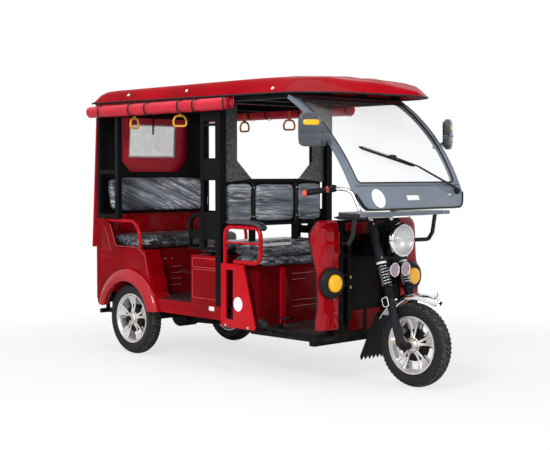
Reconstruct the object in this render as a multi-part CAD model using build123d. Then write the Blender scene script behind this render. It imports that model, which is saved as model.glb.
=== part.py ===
from build123d import *
from math import asin, cos, hypot, radians, sin
import os

os.makedirs("parts", exist_ok=True)

# Electric passenger rickshaw, three wheels, millimetres.
# +X points forward, +Y to the driver's left, +Z up, ground at z = 0,
# origin on the ground under the middle of the vehicle's outer box.

# Running gear
wheelbase = 2068.0
rear_track = 862.0
front_axle_x = 1130.0
rear_axle_x = front_axle_x - wheelbase
tyre_radius = 240.0
tyre_width = 95.0
rim_radius = 165.5
rim_width = 84.0
axle_z = tyre_radius

# Body stations along X, from the tail to the nose
tail_x = -1300.0
c_post_x = -1070.0
rear_seat_front_x = -790.0
door_rear_x = -600.0
mid_seat_rear_x = -285.0
ladder_rear_x = -183.0
b_post_x = -43.0
partition_x = -24.0
driver_seat_front_x = 280.0
fascia_x = 742.0
shield_x = 790.0

# Heights
sill_z = 316.0
driver_floor_z = 300.0
floor_z = 400.0
seat_base_z = 702.0
cushion_top_z = 796.0
driver_base_z = 655.0
driver_top_z = 770.0
rail_z = 1640.0
rail_height = 36.0

# Widths, measured to the outer faces
half_body = 490.0
half_inner = 366.0
half_roof = 520.0
half_mirrors = 683.0

# Windscreen's outer curve in X and Z
screen_top = (600.0, 1662.0)
screen_mid = (920.0, 1390.0)
screen_foot = (1129.0, 1020.0)

# Sheet, tube and fit sizes
skin = 8.0
thin = 4.0
seat_gap = 0.3
bearing_gap = 0.1

# Steering
rake = 18.0
leg_y = 90.0
leg_foot_x = front_axle_x - 30.0
stem_offset = 40.0


def mirrored(shape):
    return mirror(shape, about=Plane.XZ)


def both_sides(shape):
    return Compound(children=[shape, mirrored(shape)])


def block(x0, x1, y0, y1, z0, z1):
    return Pos((x0 + x1) / 2, (y0 + y1) / 2, (z0 + z1) / 2) * Box(x1 - x0, y1 - y0, z1 - z0)


def outline(points, radii=None):
    if radii is None:
        return make_face(Polyline(*points, close=True))
    return make_face(FilletPolyline(*points, radius=radii, close=True))


def side_slab(points, y0, y1, radii=None):
    # Outline in X and Z, thickness along Y
    plane = Plane(origin=(0, y1, 0), x_dir=(1, 0, 0), z_dir=(0, -1, 0))
    return extrude(plane * outline(points, radii), amount=y1 - y0)


def cross_slab(points, x0, x1, radii=None):
    # Outline in Y and Z, thickness along X
    plane = Plane(origin=(x0, 0, 0), x_dir=(0, 1, 0), z_dir=(1, 0, 0))
    return extrude(plane * outline(points, radii), amount=x1 - x0)


def plan_slab(points, z0, z1, radii=None):
    # Outline in X and Y, thickness along Z
    return extrude(Plane.XY.offset(z0) * outline(points, radii), amount=z1 - z0)


def rod(start, end, radius):
    axis = Vector(*end) - Vector(*start)
    plane = Plane(origin=start, z_dir=axis.normalized())
    return extrude(plane * Circle(radius), amount=axis.length)


def bent_tube(points, radius, bend):
    path = FilletPolyline(*points, radius=bend)
    start = Plane(origin=path @ 0, z_dir=path % 0)
    return sweep(start * Circle(radius), path=path)


def cross_rod(x, z, y0, y1, radius):
    return rod((x, y0, z), (x, y1, z), radius)


def square_post(x0, y0, size_x, size_y, z0, z1):
    return block(x0, x0 + size_x, y0, y0 + size_y, z0, z1)


def save(name, shape):
    export_step(shape, "parts/" + name + ".step")


def raked(along, across=0.0, forward=0.0):
    # Point on the steering axis frame: along the axis from its foot at axle
    # height, across in Y, forward square to the axis
    a = radians(rake)
    foot_x = leg_foot_x - stem_offset / cos(a)
    x = foot_x - along * sin(a) + forward * cos(a)
    z = axle_z + along * cos(a) + forward * sin(a)
    return (x, across, z)


def raked_slab(points, along0, along1, radii=None):
    # Plate square to the steering axis, its outline in (forward, across)
    a = radians(rake)
    plane = Plane(
        origin=raked(along0), x_dir=(cos(a), 0, sin(a)), z_dir=(-sin(a), 0, cos(a))
    )
    return extrude(plane * outline(points, radii), amount=along1 - along0)


# Wheels: an alloy rim of split spokes and a road tyre
spoke_count = 5
hub_radius = 46.0
hub_half = 52.0
spindle_radius = 10.0
rim_lip = 8.0
spoke_width = 20.0
spoke_spread = 17.0
spoke_depth = 18.0


def ring_about_y(points):
    # Closed profile in (radius, y) turned about the wheel's axle
    face = outline([(r, y) for r, y in points])
    turned = revolve(face, axis=Axis.Y, revolution_arc=360)
    return turned


def make_rim():
    half = rim_width / 2
    barrel = ring_about_y(
        [
            (rim_radius - rim_lip, -half),
            (rim_radius, -half),
            (rim_radius, -half + 10),
            (rim_radius - 14, -half + 18),
            (rim_radius - 22, -12),
            (rim_radius - 22, 12),
            (rim_radius - 14, half - 18),
            (rim_radius, half - 10),
            (rim_radius, half),
            (rim_radius - rim_lip, half),
            (rim_radius - 22, half - 16),
            (rim_radius - 30, 12),
            (rim_radius - 30, -12),
            (rim_radius - 22, -half + 16),
        ]
    )
    hub = ring_about_y(
        [
            (spindle_radius + bearing_gap, -hub_half),
            (hub_radius * 0.6, -hub_half),
            (hub_radius, -20),
            (hub_radius, 20),
            (hub_radius * 0.6, hub_half),
            (spindle_radius + bearing_gap, hub_half),
        ]
    )
    reach = rim_radius - 24
    rim = barrel + hub
    for n in range(spoke_count):
        for side in (-1, 1):
            start = hub_radius - 6
            spoke = plan_slab(
                [
                    (start, side * 4 - spoke_width / 2),
                    (reach, side * (4 + spoke_spread) - spoke_width / 2),
                    (reach, side * (4 + spoke_spread) + spoke_width / 2),
                    (start, side * 4 + spoke_width / 2),
                ],
                -spoke_depth,
                spoke_depth,
            )
            rim += Rot(0, 360 / spoke_count * n, 0) * Rot(90, 0, 0) * spoke
    return rim


def make_tyre():
    half = tyre_width / 2
    bead = rim_radius + seat_gap
    flank = [
        (bead, rim_width / 2 - 10),
        (bead + 12, half - 4),
        (bead + 34, half),
        (tyre_radius - 16, half - 5),
        (tyre_radius - 7, 30),
        (tyre_radius, 12),
    ]
    return ring_about_y([(r, -y) for r, y in flank] + [(r, y) for r, y in reversed(flank)])


rim = make_rim()
tyre = make_tyre()
wheel_places = {
    "front": (front_axle_x, 0.0),
    "rear_left": (rear_axle_x, rear_track / 2),
    "rear_right": (rear_axle_x, -rear_track / 2),
}
for name, (x, y) in wheel_places.items():
    save(name + "_rim", Pos(x, y, axle_z) * rim)
    save(name + "_tyre", Pos(x, y, axle_z) * tyre)


# Chassis: ladder rails, cross members, side tubes and the front frame
rail_y = 300.0
rail_width = 40.0
rail_top_z = floor_z - skin
rail_bottom_z = rail_top_z - 46.0
front_rail_z = driver_floor_z - 10.0
side_tube_y = 452.0
side_tube_r = 17.0
front_cross_x = fascia_x + 6
front_tube_x = shield_x - 13 - seat_gap
cross_stations = (-1270.0, -545.0, -300.0, -15.0)
step_x = 40.0
post_y = 262.0
post_width = 80.0
upright_table = (
    # y, width, z bottom, z top
    (post_y, post_width, 250.0, 895.0),
    (168.0, 30.0, 360.0, 880.0),
)


def make_chassis():
    frame = None
    for y in (-rail_y, rail_y):
        y0 = y - rail_width / 2
        y1 = y + rail_width / 2
        rail = block(tail_x + 12, step_x - skin, y0, y1, rail_bottom_z, rail_top_z)
        drop = block(step_x - skin - 50, step_x - skin, y0, y1, front_rail_z - 50, rail_top_z)
        front = block(step_x - skin - 50, front_cross_x, y0, y1, front_rail_z - 50, front_rail_z)
        rail += drop + front
        frame = rail if frame is None else frame + rail
    for x in cross_stations:
        frame += block(x - 18, x + 18, -side_tube_y, side_tube_y, rail_bottom_z + 4, rail_top_z - 4)
    frame += block(front_cross_x - 40, front_cross_x, -430, 430, front_rail_z - 60, front_rail_z)
    frame += block(driver_seat_front_x, driver_seat_front_x + 36, -430, 430, front_rail_z - 40, front_rail_z)
    for side in (-1, 1):
        frame += rod(
            (driver_seat_front_x - 30, side * side_tube_y, front_rail_z - side_tube_r - 1),
            (shield_x - 20, side * (side_tube_y - 30), front_rail_z - side_tube_r - 3),
            side_tube_r,
        )
        frame += block(
            front_cross_x - 30, front_tube_x, side * post_y - 30, side * post_y + 30,
            front_rail_z - 44, front_rail_z - 4,
        )
        frame += block(
            front_tube_x - 30, front_tube_x, min(side * post_y, side * 430), max(side * post_y, side * 430),
            front_rail_z - 36, front_rail_z - 6,
        )
    return frame


def make_front_frame():
    # Uprights that carry the leg shields, joined behind to two cross bars
    # and by gussets to the steering head
    parts = None
    for side in (-1, 1):
        for y, width, z0, z1 in upright_table:
            post = block(
                front_tube_x - 26, front_tube_x, side * y - width / 2, side * y + width / 2,
                max(z0, front_rail_z - 4 + seat_gap), z1,
            )
            parts = post if parts is None else parts + post
        for z in (head_low_z, head_high_z):
            y_low, y_high = sorted((side * 155, side * (post_y + 35)))
            parts += block(fascia_x - 2, front_tube_x - 10, y_low, y_high, z - 12, z + 12)
        y_low, y_high = sorted((side * 165, side * post_y))
        for z in (566, 626):
            parts += block(front_tube_x - 22, front_tube_x - 4, y_low, y_high, z - 9, z + 9)
    for z in (head_low_z, head_high_z):
        parts += block(fascia_x - 2, fascia_x + 20, -post_y - 35, post_y + 35, z - 12, z + 12)
    gusset = side_slab(
        [
            (fascia_x, head_low_z - 12),
            (raked(head_foot)[0], raked(head_foot)[2] + 6),
            (raked(head_top - 24)[0], raked(head_top - 24)[2]),
            (fascia_x, head_high_z + 12),
        ],
        -14,
        14,
    )
    parts += gusset
    parts += rod(raked(head_foot), raked(head_top), head_radius)
    parts -= rod(raked(head_foot - 5), raked(head_top + 5), stem_radius + bearing_gap)
    return parts


# Steering head, measured along the raked axis from axle height
head_foot = 505.0
head_top = 678.0
head_radius = 27.0
stem_radius = 14.0
head_low_z = 735.0
head_high_z = 842.0

save("chassis_frame", make_chassis())
save("front_frame", make_front_frame())


# Rear axle, its drive motor, and the leaf springs that carry the chassis
axle_tube_r = 27.0
axle_inner_y = rear_track / 2 - hub_half - 6
leaf_half = 325.0
leaf_rise = 24.0
leaf_width = 50.0
eye_radius = 13.0
leaf_table = (
    # half length, thickness
    (leaf_half, 8.0),
    (240.0, 8.0),
    (150.0, 8.0),
)


def make_rear_axle():
    axle = cross_rod(rear_axle_x, axle_z, -axle_inner_y, axle_inner_y, axle_tube_r)
    axle += cross_rod(rear_axle_x, axle_z, -60, 60, 92)
    axle += rod((rear_axle_x, 20, axle_z), (rear_axle_x + 330, 20, axle_z + 12), 68)
    axle += rod((rear_axle_x + 324, 20, axle_z + 12), (rear_axle_x + 340, 20, axle_z + 12), 54)
    for side in (-1, 1):
        inner = side * axle_inner_y
        drum = side * (axle_inner_y - 34)
        axle += cross_rod(rear_axle_x, axle_z, drum, inner, 70)
        tip = side * (rear_track / 2 + hub_half + 16)
        axle += cross_rod(rear_axle_x, axle_z, inner, tip, spindle_radius)
        nut = side * (rear_track / 2 + hub_half + 2)
        axle += cross_rod(rear_axle_x, axle_z, nut, tip, 17)
    return axle


def make_leaf_spring():
    # Stacked leaves bent to one arc, eyes at the ends, held by a saddle
    seat_z = axle_z + axle_tube_r + seat_gap
    radius = (leaf_half**2 + leaf_rise**2) / (2 * leaf_rise)
    centre_z = seat_z + 24 + radius
    spring = None
    top = radius
    for half, thickness in leaf_table:
        angle = half / radius
        arc_outer = ThreePointArc(
            (rear_axle_x - radius * sin(angle), centre_z - radius * cos(angle)),
            (rear_axle_x, centre_z - radius),
            (rear_axle_x + radius * sin(angle), centre_z - radius * cos(angle)),
        )
        lower = radius + thickness
        arc_lower = ThreePointArc(
            (rear_axle_x + lower * sin(angle), centre_z - lower * cos(angle)),
            (rear_axle_x, centre_z - lower),
            (rear_axle_x - lower * sin(angle), centre_z - lower * cos(angle)),
        )
        ends = Line(arc_outer @ 1, arc_lower @ 0) + Line(arc_lower @ 1, arc_outer @ 0)
        face = make_face(arc_outer + arc_lower + ends)
        plane = Plane(origin=(0, leaf_width / 2, 0), x_dir=(1, 0, 0), z_dir=(0, -1, 0))
        leaf = extrude(plane * face, amount=leaf_width)
        spring = leaf if spring is None else spring + leaf
        radius = lower
    eye_z = centre_z - top * cos(leaf_half / top) + 8
    for end in (-1, 1):
        eye_x = rear_axle_x + end * top * sin(leaf_half / top)
        spring += cross_rod(eye_x, eye_z, -leaf_width / 2, leaf_width / 2, eye_radius)
        half = leaf_width / 2
        hanger = block(eye_x - 14, eye_x + 14, -half - 6, half + 6, eye_z - 14, rail_bottom_z)
        hanger -= block(eye_x - 20, eye_x + 20, -half, half, eye_z - 20, rail_bottom_z - 6)
        spring += hanger
    return spring


leaf = make_leaf_spring()
save("rear_axle", make_rear_axle())
save("leaf_springs", both_sides(Pos(0, rail_y, 0) * leaf))


# Floor, sills and tail
jamb_foot_x = -684.0


def make_floor():
    inner = half_inner - seat_gap
    floor = block(tail_x + 20, step_x, -inner, inner, rail_top_z, floor_z)
    floor += block(jamb_foot_x, step_x, -half_body + 12.3, half_body - 12.3, rail_top_z, floor_z)
    step = block(step_x - skin, step_x, -430, 430, driver_floor_z, rail_top_z)
    low = block(step_x - skin, fascia_x - 10, -430, 430, front_rail_z, driver_floor_z)
    return floor + step + low


def make_sill(side):
    outer = side * half_body
    inner = side * (half_body - 12)
    y0, y1 = sorted((outer, inner))
    sill = block(door_rear_x + seat_gap, 8 - seat_gap, y0, y1, sill_z, floor_z)
    for z in (348.0, 372.0):
        groove_y0, groove_y1 = sorted((outer, side * (half_body - 2)))
        sill -= block(door_rear_x + 40, -110, groove_y0, groove_y1, z - 2, z + 2)
    return sill


save("floor_pan", make_floor())
save("side_sills", Compound(children=[make_sill(-1), make_sill(1)]))


# Rear body sides, each cut away over its wheel and for the seat's side opening
arch_radius = 256.0
flare_radius = 335.0
flare_proud = 38.0
flare_bottom_z = 312.0
body_top_z = 904.0


def make_side_panel():
    panel = side_slab(
        [
            (tail_x, sill_z), (tail_x, body_top_z), (-1219, body_top_z), (-1161, 874),
            (-1070, 712), (-756, 712), (-728, 600), (-672, 420), (-600, 392), (-600, sill_z),
        ],
        -half_body,
        -half_body + skin,
        [12, 8, 20, 30, 30, 40, 60, 40, 10, 6],
    )
    panel -= cross_rod(rear_axle_x, axle_z, -half_body - 5, -half_body + skin + 5, arch_radius)
    panel -= side_slab([(-1282, 470), (-1282, 660), (-1010, 660), (-850, 560), (-850, 540), (-1010, 640),
                        (-1262, 640), (-1262, 470)],
                       -half_body, -half_body + 1.5)
    panel -= side_slab([(-1262, 690), (-1268, 860), (-1256, 860), (-1250, 690)],
                       -half_body, -half_body + 1.5)
    return panel


def make_flare():
    centre = (rear_axle_x, axle_z)
    ring = cross_rod(centre[0], centre[1], -half_body - flare_proud, -half_body - seat_gap, flare_radius)
    ring = chamfer(ring.edges().group_by(Axis.Y)[0], length=14)
    ring -= cross_rod(centre[0], centre[1], -half_body - flare_proud - 5, -half_body + 5, arch_radius - 4)
    ring -= block(centre[0] - 400, centre[0] + 400, -half_body - 60, -half_body + 60, -200, flare_bottom_z)
    return ring


def make_housing():
    # Sheet box round the wheel: crown, inner wall and the stepped door jamb
    # that runs down to the floor, with a half round liner over the tyre
    y_out = -half_body + skin + seat_gap
    y_in = -half_inner
    box = side_slab(
        [
            (tail_x + 14, floor_z), (tail_x + 14, seat_base_z), (-762, seat_base_z), (-748, 652),
            (-726, 645), (-712, 545), (-690, 538), (-676, 430), (-640, floor_z),
        ],
        y_out,
        y_in,
    )
    box -= side_slab(
        [
            (tail_x, floor_z - 5), (tail_x, seat_base_z - skin), (-770, seat_base_z - skin), (-757, 645),
            (-734, 637), (-720, 536), (-698, 530), (-684, 424), (-655, floor_z - 5),
        ],
        y_out - 5,
        y_in - skin,
    )
    liner = cross_rod(rear_axle_x, axle_z, y_out + 0.5, y_in - skin / 2, arch_radius + 6)
    liner -= cross_rod(rear_axle_x, axle_z, y_out - 5, y_in + 5, arch_radius)
    liner &= block(rear_axle_x - 300, rear_axle_x + 300, y_out - 5, y_in + 5, floor_z + 1, seat_base_z)
    return box + liner


side_panel = make_side_panel()
save("rear_side_panels", both_sides(side_panel))
save("arch_flares", both_sides(make_flare()))
save("wheel_housings", both_sides(make_housing()))


# Number plate's two bolt holes in the tail
plate_hole_r = 3.25
plate_hole_spacing = 150.0
plate_hole_z = 500.0


def make_tail():
    tail = block(tail_x - skin, tail_x - seat_gap, -half_body, half_body, sill_z + 30, body_top_z)
    for y in (-plate_hole_spacing / 2, plate_hole_spacing / 2):
        tail -= rod((tail_x - skin - 5, y, plate_hole_z), (tail_x + 5, y, plate_hole_z), plate_hole_r)
    tail += block(tail_x - skin - 10, tail_x - seat_gap, -half_body + 60, half_body - 60, 560, 572)
    tail += block(tail_x - skin - 10, tail_x - seat_gap, -half_body + 60, half_body - 60, 700, 712)
    return tail


def make_tail_lamp():
    lamp = block(tail_x - skin - 34, tail_x - skin, -442, -372, 590, 690)
    return lamp


save("tail_panel", make_tail())
save("tail_lamps", both_sides(make_tail_lamp()))


# Rear bench: louvred box front, cushion, backrest and the pressed panel below it
louvre_z = (474.0, 508.0, 544.0, 580.0)


def make_seat_box():
    x0 = rear_seat_front_x - thin
    front = block(x0, rear_seat_front_x, -half_inner + seat_gap, half_inner - seat_gap, floor_z, seat_base_z)
    for z in louvre_z:
        lip = Pos(rear_seat_front_x, -205, z) * (Rot(90, 0, 0) * Cylinder(6, 84))
        front += lip & block(rear_seat_front_x - 1, rear_seat_front_x + 20, -260, -150, z - 8, z)
    top = block(tail_x + 14, rear_seat_front_x, -half_inner + seat_gap, half_inner - seat_gap,
                seat_base_z - thin, seat_base_z)
    return front + top


def make_back_panel():
    panel = block(-1262, -1254, -452, 452, seat_base_z + seat_gap, 930)
    for y in range(-400, 401, 160):
        panel += block(-1254, -1248, y - 14, y + 14, 806, 924)
    return panel


def soft_block(x0, x1, y0, y1, z0, z1, radius):
    body = block(x0, x1, y0, y1, z0, z1)
    return fillet(body.edges(), radius=radius)


def leaned_pad(x_low, x_high, x_back, z0, z1, thickness, half, radius):
    # Flat against its board at the top, leaning forward below it
    pad = side_slab(
        [(x_low - thickness, z0), (x_back, z1 - 70), (x_back, z1), (x_high, z1), (x_low, z0)], -half, half
    )
    return fillet(pad.edges(), radius=radius)


save("rear_seat_box", make_seat_box())
save("rear_back_panel", make_back_panel())
save("rear_cushion", soft_block(-1246, -830, -452, 452, seat_base_z + seat_gap, cushion_top_z, 22))
save("rear_backrest", leaned_pad(-1180, -1232, tail_x + 16 + seat_gap, 932, 1198, 44, 448, 14))


# Middle seat box with pressed side panels, facing the rear bench
box_half = half_body - 6


def make_mid_box():
    x0 = mid_seat_rear_x
    x1 = b_post_x - seat_gap
    box = block(x0, x1, -box_half, box_half, floor_z, seat_base_z)
    box -= block(x0 + thin, x1 - thin, -box_half + skin, box_half - skin, floor_z - 1, seat_base_z - thin)
    for side in (-1, 1):
        for z0, z1 in ((628, 684), (436, 614)):
            y0, y1 = sorted((side * box_half, side * (box_half - 3)))
            box -= block(x0 + 18, x1 - 18, y0, y1, z0, z1)
        for z in (470, 500, 530, 560):
            y0, y1 = sorted((side * (box_half - 3), side * (box_half - 1)))
            box += block(x0 + 40, x1 - 60, y0, y1, z - 2, z + 2)
    return box


save("mid_seat_box", make_mid_box())
save("mid_cushion", soft_block(mid_seat_rear_x + 4, -58, -448, 448, seat_base_z + seat_gap, 782, 20))


# Driver's bench
driver_box_half = 425.0


def make_driver_box():
    x0 = step_x + seat_gap
    x1 = driver_seat_front_x
    box = block(x0, x1, -driver_box_half, driver_box_half, driver_floor_z, driver_base_z)
    box -= block(x0 + thin, x1 - thin, -driver_box_half + thin, driver_box_half - thin,
                 driver_floor_z - 1, driver_base_z - thin)
    for y in (-235.0, 235.0):
        box += block(x1, x1 + 14, y - 18, y + 18, driver_floor_z, driver_base_z - 14)
    for z in (395.0, 432.0, 560.0, 596.0):
        box += block(x1, x1 + 4, -150, 150, z - 4, z + 4)
    return box


save("driver_seat_box", make_driver_box())
save("driver_cushion", soft_block(0, 318, -430, 430, driver_base_z + seat_gap, driver_top_z, 26))


# Battery pack closed in under the rear bench
save("battery_pack", block(-1190, -860, -250, 250, floor_z + seat_gap, floor_z + 220))

# Pillars: ladder pillars with the rear-facing seat's side guards
post_small = 30.0
post_wide = 46.0
post_deep = 50.0
ladder_top_z = rail_z - seat_gap
slot_table = (
    # z low, z high of each open slot
    (974.0, 1168.0),
    (1304.0, 1499.0),
    (1517.0, 1529.0),
)


def make_ladder():
    outer = -half_body
    rear = square_post(ladder_rear_x, outer, post_small, post_small, 738, ladder_top_z)
    front = square_post(b_post_x, outer, post_wide, post_deep, sill_z + 90, ladder_top_z)
    plate = block(ladder_rear_x + post_small, b_post_x, outer + 2, outer + 2 + thin, 738, ladder_top_z)
    for z0, z1 in slot_table:
        plate -= block(ladder_rear_x + post_small - 1, b_post_x + 1, outer, outer + 10, z0, z1)
    guard = side_slab(
        [(-304, 738), (-304, 965), (ladder_rear_x, 965), (ladder_rear_x, 738)], outer + 2, outer + 24,
        [6, 60, 4, 4],
    )
    guard -= side_slab(
        [(-284, 858), (-284, 940), (-203, 940), (-203, 858)], outer, outer + 30, [10, 40, 10, 10]
    )
    guard -= block(-290, ladder_rear_x - 14, outer, outer + 30, 752, 806)
    plate -= block(ladder_rear_x + post_small + 4, b_post_x - 6, outer, outer + 10, 760, 806)
    return rear + front + plate + guard


save("pillar_ladders", both_sides(make_ladder()))


# Partition behind the driver: patterned plates with gussets, rail and the bar
plate_inner_y = 327.0
gusset_inner_y = 206.0
partition_rail_z = 1177.0
partition_rail_height = 24.0


def make_partition():
    x0 = partition_x - 38
    x1 = partition_x
    y_post = half_body - post_deep
    side_plate = cross_slab(
        [
            (-y_post, partition_rail_z), (-gusset_inner_y, partition_rail_z),
            (-plate_inner_y, 1290), (-plate_inner_y, ladder_top_z), (-y_post, ladder_top_z),
        ],
        x1 - thin,
        x1,
    )
    rail = block(x0, x1, -y_post, y_post, partition_rail_z - partition_rail_height, partition_rail_z)
    low_rail = block(x0, x1, -y_post, y_post, 882, 900)
    sheet = block(x0, x0 + thin, -y_post, y_post, 900, partition_rail_z - partition_rail_height)
    frame = side_plate + mirrored(side_plate) + rail + low_rail + sheet
    for y in (-187.0, 187.0):
        frame += block(x0, x1, y - 13, y + 13, 784, 900)
    return frame


save("partition_frame", make_partition())

backrest_table = (
    # y low, y high of each pad between the straps
    (-415.0, -200.0),
    (-174.0, 174.0),
    (200.0, 415.0),
)
pads = []
for y0, y1 in backrest_table:
    pads.append(soft_block(partition_x - 34 + seat_gap, partition_x + 8, y0, y1, 902, 1152, 12))
save("driver_backrest", Compound(children=pads))


# Rear pillars and the black frame round the rear opening
def make_rear_frame():
    top = ladder_top_z
    frame = None
    for side in (-1, 1):
        y0, y1 = sorted((side * half_body, side * (half_body - 32)))
        corner = block(tail_x + 2, tail_x + 34, y0, y1, body_top_z + seat_gap, top)
        c_post = block(c_post_x - 18, c_post_x + 18, y0, y1, 904 + seat_gap, top)
        frame = corner + c_post if frame is None else frame + corner + c_post
        frame += block(tail_x + 30, c_post_x - 16, y0, y1, 1206, 1232)
        frame += block(tail_x + 30, c_post_x - 16, y0, y1, body_top_z + seat_gap, 934)
    plate = block(tail_x + 6, tail_x + 16, -half_body + 30, half_body - 30, 905, top)
    opening = cross_slab(
        [(-300, 1221 + 85), (-215, 1221), (215, 1221), (300, 1221 + 85), (300, 1600), (-300, 1600)],
        tail_x,
        tail_x + 40,
    )
    return frame + (plate - opening)


save("rear_frame", make_rear_frame())


# Roof frame: side rails, cross bars and the front bow that takes the windscreen
roof_front_x = screen_top[0] - 10
rail_inset = 40.0
bow_half = 18.0
front_bow_x = screen_top[0] - 9.2 - bow_half
bow_stations = (tail_x + 20, c_post_x, -600.0, b_post_x + 20, 290.0, front_bow_x)


# Roof shell: cambered top with soft sides, narrowing and drooping to a visor at the front
roof_skin = 5.0
roof_rear_x = -1307.0
roof_bend_x = 560.0
roof_nose_x = 1140.0
skirt_table = (
    # x, z of the roof's lower edge
    (roof_rear_x, 1692.0),
    (-650.0, 1685.0),
    (310.0, 1675.0),
    (560.0, 1672.0),
    (875.0, 1664.0),
    (1000.0, 1656.0),
    (roof_nose_x, 1646.0),
)
crown_table = (
    # x, z of the roof's top line
    (roof_rear_x, 1722.0),
    (-1296.0, 1748.0),
    (-1270.0, 1775.0),
    (-1210.0, 1789.0),
    (-1120.0, 1792.0),
    (300.0, 1791.0),
    (455.0, 1788.0),
    (700.0, 1769.0),
    (970.0, 1724.0),
    (1100.0, 1681.0),
    (roof_nose_x, 1664.0),
)
roof_stations = (
    roof_rear_x, -1296.0, -1270.0, -1210.0, -1120.0, 100.0, 300.0, 455.0, 560.0,
    660.0, 760.0, 850.0, 930.0, 1000.0, 1050.0, 1090.0, 1115.0, 1130.0,
)
roof_camber = 30.0


def at(table, x):
    # Straight-line value between a table's rows
    for (x0, z0), (x1, z1) in zip(table[:-1], table[1:]):
        if x <= x1:
            return z0 + (z1 - z0) * max(0, x - x0) / (x1 - x0)
    return table[-1][1]


def roof_half(x):
    run = max(0, (x - roof_bend_x) / (roof_nose_x - roof_bend_x))
    return half_roof * (1 - run**1.8) ** 0.75


def roof_height(x, f):
    # Height at the fraction f of the half width: a slow camber, then a ramp that
    # starts nearer the middle towards the nose
    camber = roof_camber * min(1, max(0.15, (roof_nose_x - x) / 600))
    start = at(((100, 0.86), (600, 0.74), (1000, 0.55), (roof_nose_x, 0.30)), x)
    power = at(((100, 2.0), (800, 1.5)), x)
    ramp = max(0, (f - start) / (1 - start))
    z = at(crown_table, x) - camber * f * f
    return z - (z - at(skirt_table, x)) * ramp**power


def roof_section(x, inset, lift):
    half = roof_half(x) - inset
    points = [(f, roof_height(x, abs(f)) - inset) for f in (
        -0.98, -0.92, -0.84, -0.74, -0.62, -0.45, -0.25, 0, 0.25, 0.45, 0.62, 0.74, 0.84, 0.92, 0.98)]
    edge = at(skirt_table, x) - inset
    top = Spline([(-half, edge)] + [(f * half, z) for f, z in points] + [(half, edge)])
    low = edge - 1 - lift
    wire = top + Polyline((half, edge), (half, low), (-half, low), (-half, edge))
    station = min(max(x, roof_rear_x + inset), roof_stations[-1] - inset)
    return Plane(origin=(station, 0, 0), x_dir=(0, 1, 0), z_dir=(1, 0, 0)) * make_face(wire)


def roof_body(inset, lift):
    return loft([roof_section(x, inset, lift) for x in roof_stations], ruled=True)


def make_roof_frame():
    # Two rails, and over each station a cross bar between them and a bow seated on them
    parts = []
    rail_top = rail_z + rail_height
    for side in (-1, 1):
        y0, y1 = sorted((side * half_body, side * (half_body - rail_inset)))
        parts.append(block(tail_x + 2, roof_front_x, y0, y1, rail_z, rail_top))
    under = roof_body(roof_skin + seat_gap, 60)
    bows = under - roof_body(roof_skin + 28, 100)
    bar_half = half_body - rail_inset - seat_gap
    foot = rail_top + seat_gap
    for x in bow_stations:
        x0 = x - bow_half
        x1 = x + bow_half
        parts.append(block(x0, x1, -bar_half, bar_half, rail_z, rail_top))
        bow = bows & block(x0, x1, -half_body + 6, half_body - 6, foot, 1850)
        for side in (-1, 1):
            y0, y1 = sorted((side * (half_body - 6), side * (half_body - 36)))
            bow += block(x0, x1, y0, y1, foot, 1850) & under
        parts.append(bow)
    return Compound(children=parts)


save("roof_shell", roof_body(0, 0) - roof_body(roof_skin, 40))
save("roof_frame", make_roof_frame())


# Rear canvas with its clear window, hung behind the rear frame
canvas_top_z = 1686.0
canvas_low_z = 702.0
canvas_lean = 64.0
window_half = 195.0
window_low_z = 1334.0
window_high_z = 1548.0


def canvas_x_at(z):
    return tail_x + 2 - seat_gap - canvas_lean * (canvas_top_z - z) / (canvas_top_z - canvas_low_z)


def make_canvas():
    sheet = side_slab(
        [(canvas_x_at(canvas_top_z), canvas_top_z), (canvas_x_at(canvas_top_z) - 3, canvas_top_z),
         (canvas_x_at(canvas_low_z) - 3, canvas_low_z), (canvas_x_at(canvas_low_z), canvas_low_z)],
        -half_body + 2, half_body - 2,
    )
    sheet -= block(tail_x - 100, tail_x + 5, -window_half, window_half, window_low_z, window_high_z)
    return sheet


def make_rear_window():
    inset = seat_gap
    low = window_low_z + inset
    high = window_high_z - inset
    x_high = canvas_x_at(high)
    x_low = canvas_x_at(low)
    return side_slab(
        [(x_high, high), (x_high - 2, high), (x_low - 2, low), (x_low, low)],
        -window_half + inset, window_half - inset,
    )


save("rear_canvas", make_canvas())
save("rear_window", make_rear_window())


# Rolled side curtains under the roof's edge
roll_radius = 42.0
roll_y = half_body + roll_radius + seat_gap
roll_z = rail_z - 12
roll_rear_x = tail_x - 10
roll_front_x = 138.0
roll = rod((roll_rear_x, -roll_y, roll_z), (roll_front_x, -roll_y, roll_z), roll_radius)
save("curtain_rolls", both_sides(roll))


# Grab handles on straps below the roof rails
handle_y = half_body - rail_inset / 2
ring_z = 1540.0
ring_bar_r = 7.0
ring_outline = (
    # across, up
    (-26.0, 34.0),
    (26.0, 34.0),
    (42.0, 4.0),
    (38.0, -30.0),
    (-38.0, -30.0),
    (-42.0, 4.0),
)
handle_table = (
    # x, side, turn about the strap in degrees
    (-889.0, -1, 58.0),
    (-408.0, -1, 4.0),
    (-846.0, 1, 46.0),
    (-386.0, 1, 30.0),
)


def make_grab():
    # Flat-bottomed loop bent from round bar, closed under its strap, with a boss over the join
    half = [(0.0, ring_outline[1][1])] + list(ring_outline[1:4]) + [(0.0, ring_outline[4][1])]
    bends = [12, 26, 14]
    right = bent_tube([(x, 0, z) for x, z in half], ring_bar_r, bends)
    left = bent_tube([(-x, 0, z) for x, z in half], ring_bar_r, bends)
    strap_z = rail_z - seat_gap - ring_z
    return right + left + block(-11, 11, -2, 2, ring_outline[0][1], strap_z)


grab = make_grab()
handles = []
for x, side, turn in handle_table:
    handles.append(Pos(x, side * handle_y, ring_z) * Rot(0, 0, turn) * grab)
save("grab_handles", Compound(children=handles))


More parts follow.
